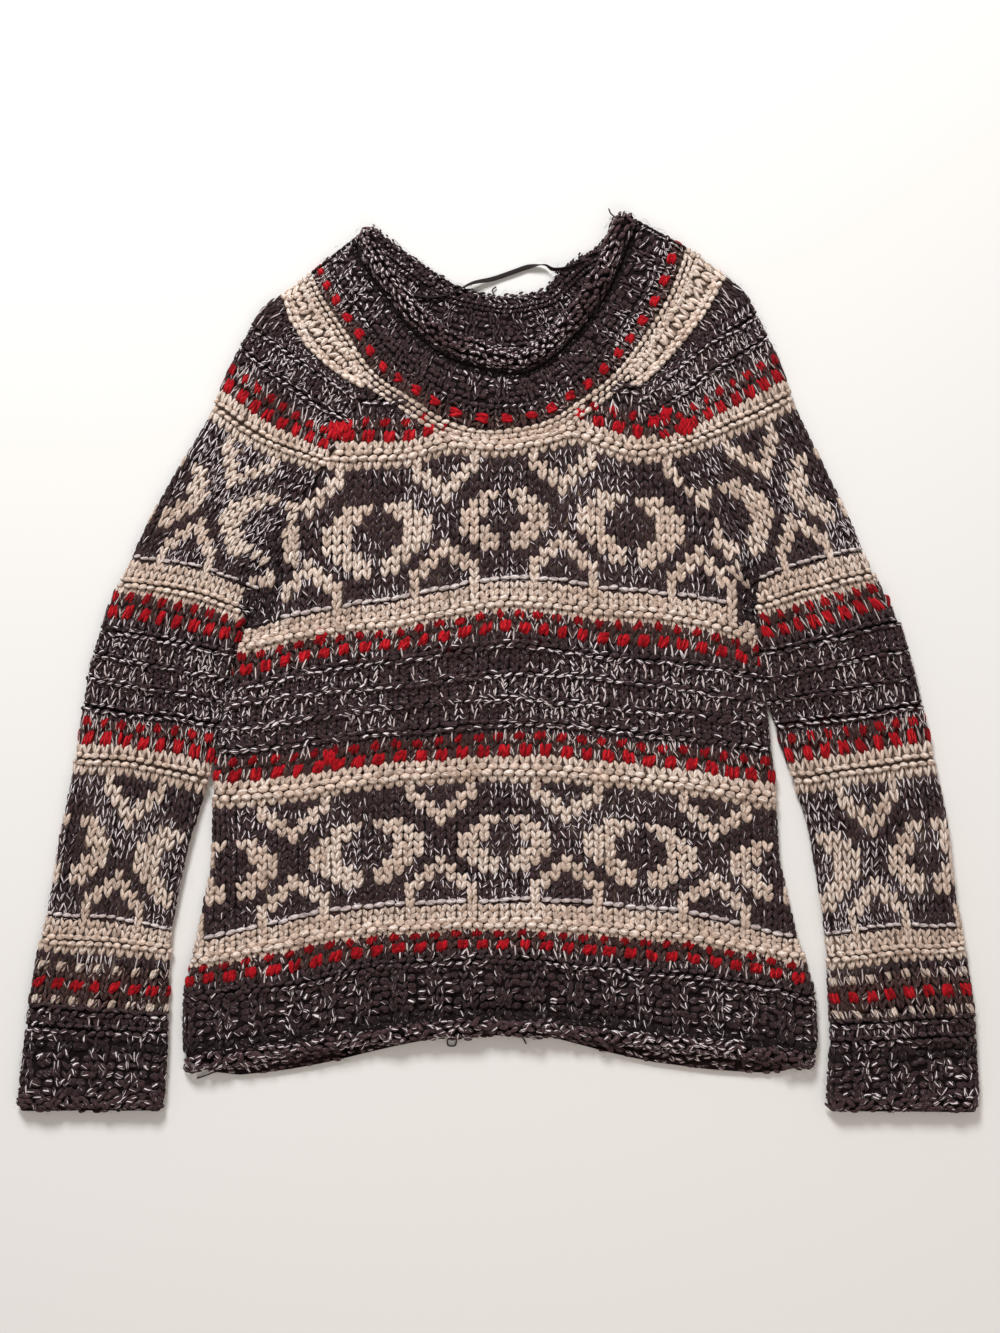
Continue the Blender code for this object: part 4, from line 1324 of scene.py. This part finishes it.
def add_bake_map(mesh, low, high):
    """A map seen from straight above, so that a baked picture keeps every stitch."""
    places = mesh.uv_layers.new(name="OFBake")
    co = np.empty(len(mesh.vertices) * 3, dtype=np.float32)
    mesh.vertices.foreach_get("co", co)
    co = co.reshape(-1, 3)
    corners = np.empty(len(mesh.loops), dtype=np.int32)
    mesh.loops.foreach_get("vertex_index", corners)
    size = max(high[0] - low[0], high[1] - low[1]) + 1e-6
    uv = (co[corners, :2] - np.array(low[:2], dtype=np.float32)) / size
    places.data.foreach_set("uv", uv.astype(np.float32).ravel())


def rest_on_floor(mesh):
    """Press what would pass through the floor flat against it."""
    co = np.empty(len(mesh.vertices) * 3, dtype=np.float32)
    mesh.vertices.foreach_get("co", co)
    co[2::3] = np.maximum(co[2::3], LOWEST * MM)
    mesh.vertices.foreach_set("co", co)


def make_grains(name, grains, tree, grain, material, box):
    """Turn a list of grains into one mesh of yarn."""
    columns = (np.array(c, dtype=np.float32) for c in zip(*grains))
    centre, along, facing, size, seed, tone, flecks = columns
    points = bpy.data.meshes.new("points")
    points.from_pydata((centre * MM).tolist(), [], [])
    for label, values in (("along", along), ("facing", facing), ("size", size * MM)):
        attribute = points.attributes.new(label, "FLOAT_VECTOR", "POINT")
        attribute.data.foreach_set("vector", np.ascontiguousarray(values).ravel())
    for label, values in (("seed", seed), ("tone", tone), ("flecks", flecks)):
        attribute = points.attributes.new(label, "FLOAT", "POINT")
        attribute.data.foreach_set("value", values)
    holder = add_object("points", points)
    modifier = holder.modifiers.new("grains of yarn", "NODES")
    modifier.node_group = tree
    set_input(modifier, tree, "Grain", grain)
    set_input(modifier, tree, "Yarn", material)
    evaluated = holder.evaluated_get(bpy.context.evaluated_depsgraph_get())
    mesh = bpy.data.meshes.new_from_object(evaluated)
    bpy.data.objects.remove(holder, do_unlink=True)
    mesh.name = name
    for label in ("along", "facing", "size"):
        if label in mesh.attributes:
            mesh.attributes.remove(mesh.attributes[label])
    mesh.shade_smooth()
    rest_on_floor(mesh)
    add_bake_map(mesh, *box)
    return add_object(name, mesh)


def scaled(tree, colour, by):
    """A vector or colour made larger or smaller."""
    inputs = {0: colour, "Scale": by}
    return add_node(tree, "ShaderNodeVectorMath", inputs, operation="SCALE").outputs["Vector"]


def mixed(tree, factor, first, second, blend="MIX"):
    """Two colours mixed into one."""
    inputs = {"Factor": factor, "A": first, "B": second}
    node = add_node(tree, "ShaderNodeMix", inputs, data_type="RGBA", blend_type=blend)
    return node.outputs["Result"]


def add_bump(tree, shader, height, strength, distance, invert=False):
    """Give a shader a fine relief."""
    inputs = {"Strength": strength, "Distance": distance, "Height": height}
    bump = add_node(tree, "ShaderNodeBump", inputs, invert=invert)
    tree.links.new(bump.outputs["Normal"], shader.inputs["Normal"])


def new_material(name, roughness, shine):
    """A material with its node tree and its main shader."""
    material = bpy.data.materials.new(name)
    material.use_nodes = True
    shader = material.node_tree.nodes["Principled BSDF"]
    shader.inputs["Roughness"].default_value = roughness
    shader.inputs["Specular IOR Level"].default_value = shine
    return material, material.node_tree, shader


def strand_group():
    """Shader group for yarn: thin flecks, painted shade in noise patches, tone and fine relief that follow
    each strand.
    """
    tree = bpy.data.node_groups.new("strand of yarn", "ShaderNodeTree")
    add_socket(tree, "Fleck Share", "INPUT", "Float", 0.3)
    for name in ("Fleck", "Painted Shade", "Tone", "Relief"):
        add_socket(tree, name, "OUTPUT", "Float")
    given = add_node(tree, "NodeGroupInput")
    place = add_node(tree, "ShaderNodeUVMap", uv_map="strand")
    parts = add_node(tree, "ShaderNodeSeparateXYZ", {0: place.outputs["UV"]})
    u = parts.outputs["X"]
    v = parts.outputs["Y"]

    def attribute(name):
        return add_node(tree, "ShaderNodeAttribute", attribute_name=name).outputs["Fac"]

    def maths(operation, *values):
        return add_node(tree, "ShaderNodeMath", dict(enumerate(values)), operation=operation).outputs[0]

    def ramp(value, start, end):
        inputs = {"Value": value, "From Min": start, "From Max": end}
        return add_node(tree, "ShaderNodeMapRange", inputs).outputs["Result"]

    def noise(vector, scale, detail):
        inputs = {"Vector": vector, "Scale": scale, "Detail": detail}
        return add_node(tree, "ShaderNodeTexNoise", inputs).outputs["Fac"]

    def strand_noise(across, lengthwise, shift, detail):
        x = maths("MULTIPLY", maths("ADD", u, maths("MULTIPLY", v, 0.45)), across)
        y = maths("MULTIPLY", v, lengthwise)
        z = maths("MULTIPLY_ADD", seed, 61.0, shift)
        joined = add_node(tree, "ShaderNodeCombineXYZ", {"X": x, "Y": y, "Z": z})
        return noise(joined.outputs[0], 1.0, detail)

    def picked(rate):
        """A number from 0 to 1 for each grain, another one for each rate."""
        return maths("FRACT", maths("MULTIPLY", seed, rate))

    seed = attribute("seed")
    where = add_node(tree, "ShaderNodeTexCoord")
    patches = noise(where.outputs["Object"], 21.0, 1.0)
    patch = maths("MULTIPLY_ADD", ramp(patches, 0.42, 0.66), 2.3, 0.15)
    chance = maths("MULTIPLY", maths("MULTIPLY", given.outputs["Fleck Share"], attribute("flecks")), patch)

    def streak(rates, share, slope, thin, thick):
        """One fleck along the strand, where its grain has one."""
        across, lean, wide, start, run, drawn = rates
        middle = maths("MULTIPLY_ADD", picked(across), 0.46, 0.27)
        slant = maths("MULTIPLY_ADD", picked(lean), 2 * slope, -slope)
        bend = maths("MULTIPLY", maths("SUBTRACT", v, 0.5), slant)
        away = maths("ABSOLUTE", maths("SUBTRACT", maths("ADD", u, bend), middle))
        half = maths("MULTIPLY_ADD", picked(wide), thick - thin, thin)
        line = maths("SUBTRACT", 1.0, ramp(away, maths("MULTIPLY", half, 0.6), half))
        begin = maths("MULTIPLY", picked(start), 0.34)
        end = maths("ADD", begin, maths("MULTIPLY_ADD", picked(run), 0.40, 0.40))
        fade_in = ramp(v, begin, maths("ADD", begin, 0.1))
        fade_out = ramp(v, maths("ADD", end, 0.1), end)
        flecked = maths("LESS_THAN", picked(drawn), maths("MULTIPLY", chance, share))
        return maths("MULTIPLY", maths("MULTIPLY", flecked, line), maths("MULTIPLY", fade_in, fade_out))

    long_streak = streak((37.1, 53.3, 11.3, 5.7, 23.9, 91.7), 1.0, 0.55, 0.042, 0.105)
    short_streak = streak((71.3, 43.9, 19.7, 13.1, 61.7, 83.3), 0.75, 1.5, 0.035, 0.080)
    specks = ramp(strand_noise(9.0, 2.2, 5.0, 1.0), 0.66, 0.74)
    turns = maths("MULTIPLY", maths("ADD", u, maths("MULTIPLY", v, 1.6)), 12.6)
    fibres = strand_noise(14.0, 3.0, 3.0, 2.0)
    streaks = maths("MAXIMUM", long_streak, short_streak)
    add_node(tree, "NodeGroupOutput", {
        "Fleck": maths("MAXIMUM", streaks, maths("MULTIPLY", specks, 0.45)),
        "Painted Shade": ramp(strand_noise(3.0, 2.4, 7.0, 2.0), 0.34, 0.60),
        "Tone": attribute("tone"),
        "Relief": maths("MULTIPLY_ADD", maths("SINE", turns), 0.4, fibres),
    })
    return tree


def yarn_material(name, strand, colour, hollow, fleck, share, sheen):
    """A matt wool yarn with flecks along its strands, and its hollow colour laid in patches as painted
    shade.
    """
    material, tree, shader = new_material(name + " yarn", roughness=0.95, shine=0.12)
    yarn = add_node(tree, "ShaderNodeGroup", node_tree=strand)
    yarn.inputs["Fleck Share"].default_value = share
    # Painted shade: the hollow colour mixed over the yarn's colour in noise patches.
    body = mixed(tree, yarn.outputs["Painted Shade"], (*hollow, 1.0), (*colour, 1.0))
    toned = scaled(tree, body, yarn.outputs["Tone"])
    flecked = mixed(tree, yarn.outputs["Fleck"], toned, (*fleck, 1.0))
    tree.links.new(flecked, shader.inputs["Base Color"])
    add_bump(tree, shader, yarn.outputs["Relief"], strength=0.5, distance=0.0005)
    shader.inputs["Sheen Weight"].default_value = sheen
    shader.inputs["Sheen Roughness"].default_value = 0.5
    return material


def fluff_material(name, colour):
    """Loose fibres of a yarn, which catch more light than the yarn itself."""
    material, tree, shader = new_material(name + " fluff", roughness=0.9, shine=0.1)
    tone = add_node(tree, "ShaderNodeAttribute", attribute_name="tone").outputs["Fac"]
    least = add_node(tree, "ShaderNodeMath", {0: tone, 1: 0.6}, operation="MAXIMUM")
    tree.links.new(scaled(tree, colour, least.outputs["Value"]), shader.inputs["Base Color"])
    return material


def cloth_material():
    """The knitted ground between the stitches, coloured by the yarn that lies on it, with painted shade
    where its lumps sink.
    """
    material, tree, shader = new_material("knitted ground", roughness=0.95, shine=0.1)
    tint = add_node(tree, "ShaderNodeAttribute", attribute_name="ground")
    place = add_node(tree, "ShaderNodeTexCoord").outputs["Object"]
    mapping = add_node(tree, "ShaderNodeMapping", {"Vector": place, "Scale": (150.0, 120.0, 150.0)})
    inputs = {"Vector": mapping.outputs["Vector"], "Scale": 1.0}
    lumps = add_node(tree, "ShaderNodeTexVoronoi", inputs).outputs["Distance"]
    # Painted shade: darker away from each lump's middle, where the bump sinks the ground.
    inputs = {"Value": lumps, "From Min": 0.0, "From Max": 0.7, "To Min": 1.1, "To Max": 0.45}
    shade = add_node(tree, "ShaderNodeMapRange", inputs)
    tinted = mixed(tree, 1.0, tint.outputs["Color"], shade.outputs["Result"], blend="MULTIPLY")
    tree.links.new(tinted, shader.inputs["Base Color"])
    add_bump(tree, shader, lumps, strength=0.7, distance=0.0016, invert=True)
    return material


def tape_material():
    """A dark woven tape."""
    material, tree, shader = new_material("dark tape", roughness=0.75, shine=0.25)
    shader.inputs["Base Color"].default_value = (0.012, 0.007, 0.007, 1.0)
    place = add_node(tree, "ShaderNodeTexCoord").outputs["Object"]
    weave = add_node(tree, "ShaderNodeTexWave", {"Vector": place, "Scale": 700.0})
    add_bump(tree, shader, weave.outputs["Fac"], strength=0.3, distance=0.0002)
    return material


def cloth_shell(name, levels, material, colours):
    """A piece's cloth on its solid's form, a little inside the stitches."""
    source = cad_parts[name].data
    shape = bmesh.new()
    shape.from_mesh(source)
    bmesh.ops.remove_doubles(shape, verts=shape.verts, dist=2e-6)
    bmesh.ops.recalc_face_normals(shape, faces=shape.faces)
    for _ in range(levels):
        bmesh.ops.subdivide_edges(shape, edges=shape.edges[:], cuts=1, use_grid_fill=True)
    bmesh.ops.triangulate(shape, faces=shape.faces)
    shape.normal_update()
    places = np.array([v.co / MM for v in shape.verts])
    tops = field.height(places[:, 0], places[:, 1]) - SHELL_INSET
    raised = [v.co.z > 8.0 * MM and v.normal.z > 0.5 for v in shape.verts]
    inset = [v.co - v.normal * SHELL_INSET * MM * 0.6 if v.normal.z > -0.5 else v.co for v in shape.verts]
    for i, v in enumerate(shape.verts):
        v.co = Vector((v.co.x, v.co.y, tops[i] * MM)) if raised[i] else inset[i]
    mesh = bpy.data.meshes.new(name + "_cloth")
    shape.to_mesh(mesh)
    shape.free()
    mesh.shade_smooth()
    tree, tints = colours
    ground = mesh.attributes.new("ground", "FLOAT_COLOR", "POINT")
    values = np.empty((len(mesh.vertices), 4), dtype=np.float32)
    for i, v in enumerate(mesh.vertices):
        near = tree.find((v.co.x / MM, v.co.y / MM, 0.0))[1]
        values[i] = tints[near]
    ground.data.foreach_set("color", values.ravel())
    mesh.materials.append(material)
    return add_object(name + "_cloth", mesh)


# Hanger loop: a thin dark tape, sewn inside the back of the neckband.
# (x, y, height of its centre)
LOOP_POINTS = (
    (-76.0, 292.0, 6.6),
    (-64.0, 287.5, 6.8),
    (-52.0, 286.0, 6.9),
    (-40.0, 288.0, 6.9),
    (-29.0, 292.5, 6.9),
    (-19.0, 297.5, 4.6),
    (-4.0, 301.0, 2.0),
    (12.0, 306.5, 1.8),
    (24.0, 310.5, 2.0),
    (36.0, 311.5, 4.2),
    (43.0, 307.5, 6.6),
    (54.0, 308.5, 7.0),
    (67.0, 313.5, 6.9),
)

# How far the tape is turned about itself, by the share of its length.
TAPE_TWIST = ((0.0, 0.34, 0.5, 0.66, 0.74, 0.82, 1.0), (0.9, 1.1, 0.25, 0.15, 1.5, 2.2, 2.0))
# Section of the tape, one wide and one thick.
TAPE_SECTION = (
    (0.5, 0.2), (0.5, -0.2), (0.25, -0.5), (-0.25, -0.5),
    (-0.5, -0.2), (-0.5, 0.2), (-0.25, 0.5), (0.25, 0.5),
)

# Loose ends of yarn: points of each, thin and round.
# (name, x, y, height of its centre for each point)
YARN_ENDS = (
    ("neckband", (94.5, 343.0, 9.0), (91.5, 347.5, 8.0), (88.0, 351.0, 7.0), (86.5, 355.0, 5.5)),
    ("hem_band", (-243.0, -311.0, 5.0), (-246.0, -316.0, 3.5), (-244.0, -320.0, 2.5), (-239.5, -319.5, 2.5)),
    ("hem_band", (-222.0, -320.0, 3.0), (-229.0, -323.0, 2.0), (-236.0, -325.5, 1.0)),
    ("hem_band", (-38.5, -291.0, 4.0), (-39.5, -299.0, 2.0), (-33.5, -299.5, 1.2), (-32.5, -291.5, 2.5)),
    ("hem_band", (16.0, -288.0, 5.0), (19.5, -293.5, 2.5), (22.0, -298.5, 1.0)),
    ("neckband", (-2.5, 287.0, 4.0), (-4.5, 292.0, 2.0), (-1.5, 295.0, 1.2)),
)
YARN_END_THICKNESS = 1.1


def tape_twist(share):
    """How far the hanger loop's tape is turned about itself, at a share of its length."""
    return float(np.interp(share, *TAPE_TWIST))


def make_tape(name, points, width, thickness, twist, steps, material):
    """A flat tape along a smooth line, turning slowly about itself."""
    numbers = np.arange(len(points))
    t = np.linspace(0, len(points) - 1, steps)
    path = np.stack([curve_through(numbers, [p[c] for p in points], t) for c in range(3)], axis=-1)
    corners = []
    for i, spot in enumerate(path):
        run = path[min(i + 1, steps - 1)] - path[max(i - 1, 0)]
        run /= np.linalg.norm(run)
        side = np.cross(run, (0, 0, 1.0))
        side /= np.linalg.norm(side)
        up = np.cross(side, run)
        angle = twist(i / (steps - 1))
        across = side * math.cos(angle) + up * math.sin(angle)
        off = up * math.cos(angle) - side * math.sin(angle)
        for a, b in TAPE_SECTION:
            corner = spot + across * width * a + off * thickness * b
            corner[2] = max(corner[2], LOWEST)
            corners.append(Vector(corner) * MM)
    n = len(TAPE_SECTION)
    faces = []
    for ring in range(steps - 1):
        for i in range(n):
            a = ring * n + i
            b = ring * n + (i + 1) % n
            faces.append((a, b, b + n, a + n))
    faces += [tuple(range(n)), tuple(range(n * (steps - 1), n * steps))]
    mesh = closed_mesh(name, corners, faces)
    mesh.shade_smooth()
    mesh.materials.append(material)
    return add_object(name, mesh)


def make_floor():
    """A pale floor just under the sweater."""
    material, _, shader = new_material("pale floor", roughness=0.9, shine=0.5)
    shader.inputs["Base Color"].default_value = (0.81, 0.79, 0.765, 1.0)
    bpy.ops.mesh.primitive_plane_add(size=6.0, location=(0, 0, -0.0004))
    floor = bpy.context.object
    floor.name = "floor"
    floor.data.materials.append(material)


def add_light(name, place, target, size, power, colour):
    """A round area light that points at a target."""
    data = bpy.data.lights.new(name, "AREA")
    data.shape = "DISK"
    data.size = size
    data.energy = power
    data.color = colour
    lamp = add_object(name, data)
    lamp.location = place
    lamp.rotation_euler = (Vector(target) - Vector(place)).to_track_quat("-Z", "Y").to_euler()


def make_studio():
    """Cool daylight from beyond the neck, a weak warm lamp and a soft sky."""
    world = bpy.data.worlds.new("studio")
    bpy.context.scene.world = world
    world.use_nodes = True
    sky = world.node_tree.nodes["Background"]
    sky.inputs["Color"].default_value = (1.0, 0.98, 0.96, 1.0)
    sky.inputs["Strength"].default_value = 0.37
    add_light("window", (-0.5, 1.95, 1.65), (0, 0.05, 0), size=0.80, power=71.0, colour=(0.97, 0.985, 1.0))
    add_light("lamp", (0.5, -1.4, 1.7), (0, -0.1, 0), size=1.4, power=9.5, colour=(1.0, 0.82, 0.68))
    bpy.context.scene.view_settings.view_transform = "Standard"


def make_camera(long_side=1.040, lens=50.0, sensor=36.0):
    """Straight above, so high that the picture's long side spans long_side metres of cloth."""
    data = bpy.data.cameras.new("camera")
    data.lens = lens
    data.sensor_width = sensor
    camera = add_object("camera", data)
    camera.location = (0.0015, -0.0027, 0.008 + long_side * lens / sensor)
    bpy.context.scene.camera = camera


# Loose fibres by yarn.
# (yarn, colour, share of the grains that carry one)
FLUFF = (
    ("charcoal", (0.085, 0.060, 0.062), 0.24),
    ("oatmeal", (0.68, 0.55, 0.47), 0.12),
)

# The bands carry more of them.
BANDS = ("neckband", "hem_band", "cuff_left", "cuff_right")
BAND_FLUFF = 1.6

# Flat sizes of the pieces: width and length of the cut, and its area.
# (piece, width, length, area, levels of fineness, what it lies on)
SHEETS = (
    ("back", 0.490, 0.520, 0.180, 2, ()),
    ("front", 0.490, 0.470, 0.170, 3, ("back_cloth",)),
    ("sleeve_left", 0.320, 0.620, 0.116, 2, ()),
    ("sleeve_right", 0.320, 0.620, 0.124, 2, ()),
    ("neckband", 0.720, 0.085, 0.044, 2, ("back_cloth",)),
    ("hem_band", 0.980, 0.085, 0.071, 1, ()),
    ("cuff_left", 0.232, 0.084, 0.019, 2, ()),
    ("cuff_right", 0.232, 0.084, 0.018, 2, ()),
)

# How much painted shade darkens the ground beside the yarn on it, and how far the baked picture goes past
# the part.
GROUND_PAINTED_SHADE = 0.7
BAKE_MARGIN = 0.01


def ground_colours(knitted):
    """Where every grain of yarn lies, and the colour of the ground under it: its yarn's hollow colour,
    darkened as painted shade.
    """
    spots = []
    for piece in knitted.values():
        for yarn, grains in piece.grains.items():
            spots += [(yarn, grain[0]) for grain in grains]
    tree = KDTree(len(spots))
    tints = []
    for i, (yarn, centre) in enumerate(spots):
        tree.insert((centre[0], centre[1], 0.0), i)
        tints.append((*(GROUND_PAINTED_SHADE * c for c in YARNS[yarn][1]), 1.0))
    tree.balance()
    return tree, tints


def make_yarn_ends(name, material):
    """The loose ends of yarn of one piece."""
    thick = YARN_END_THICKNESS
    return [
        make_tape(f"{name}_yarn_end_{number}", points, thick, thick, lambda share: 0.0, 24, material)
        for number, (piece, *points) in enumerate(YARN_ENDS)
        if piece == name
    ]


def make_loop():
    """The hanger loop, which takes the place of its solid."""
    loop = make_tape("hanger_loop_tape", LOOP_POINTS, 3.8, 0.8, tape_twist, 90, tape_material())
    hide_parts("hanger_loop")
    return loop


def main():
    low, high = cad_box
    margin = BAKE_MARGIN
    box = ((low.x - margin, low.y - margin), (high.x + margin, high.y + margin))
    knitted = {
        "front": knit_front(),
        "hem_band": knit_hem_band(),
        "sleeve_left": knit_sleeve("sleeve_left", "cuff_left", SLEEVE_LEFT_ROWS),
        "sleeve_right": knit_sleeve("sleeve_right", "cuff_right", SLEEVE_RIGHT_ROWS),
        "cuff_left": knit_cuff("cuff_left", "sleeve_left", SLEEVE_LEFT_ROWS),
        "cuff_right": knit_cuff("cuff_right", "sleeve_right", SLEEVE_RIGHT_ROWS),
        "neckband": knit_neckband(),
    }
    colours = ground_colours(knitted)
    strand = strand_group()
    yarns = {name: yarn_material(name, strand, *values) for name, values in YARNS.items()}
    fluffs = {name: (fluff_material(name, colour), share) for name, colour, share in FLUFF}
    ground = cloth_material()
    stitches = stitch_tree()
    grain = grain_object()
    wisp = wisp_object()
    for name, width, length, area, levels, under in SHEETS:
        cloth = cloth_shell(name, levels, ground, colours)
        parts = []
        knitting = knitted[name].grains if name in knitted else {}
        for yarn, grains in knitting.items():
            if not grains:
                continue
            parts.append(make_grains(f"{name}_{yarn}_stitches", grains, stitches, grain, yarns[yarn], box))
            if yarn in fluffs:
                material, share = fluffs[yarn]
                fibres = loose_fibres(grains, share * (BAND_FLUFF if name in BANDS else 1.0))
                parts.append(make_grains(f"{name}_{yarn}_fluff", fibres, stitches, wisp, material, box))
        parts += make_yarn_ends(name, fluffs["charcoal"][0])
        if name == "neckband":
            parts.append(make_loop())
        for part in [cloth] + parts:
            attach(part, "root")
        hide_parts(name)
    make_floor()
    make_studio()
    make_camera()


main()
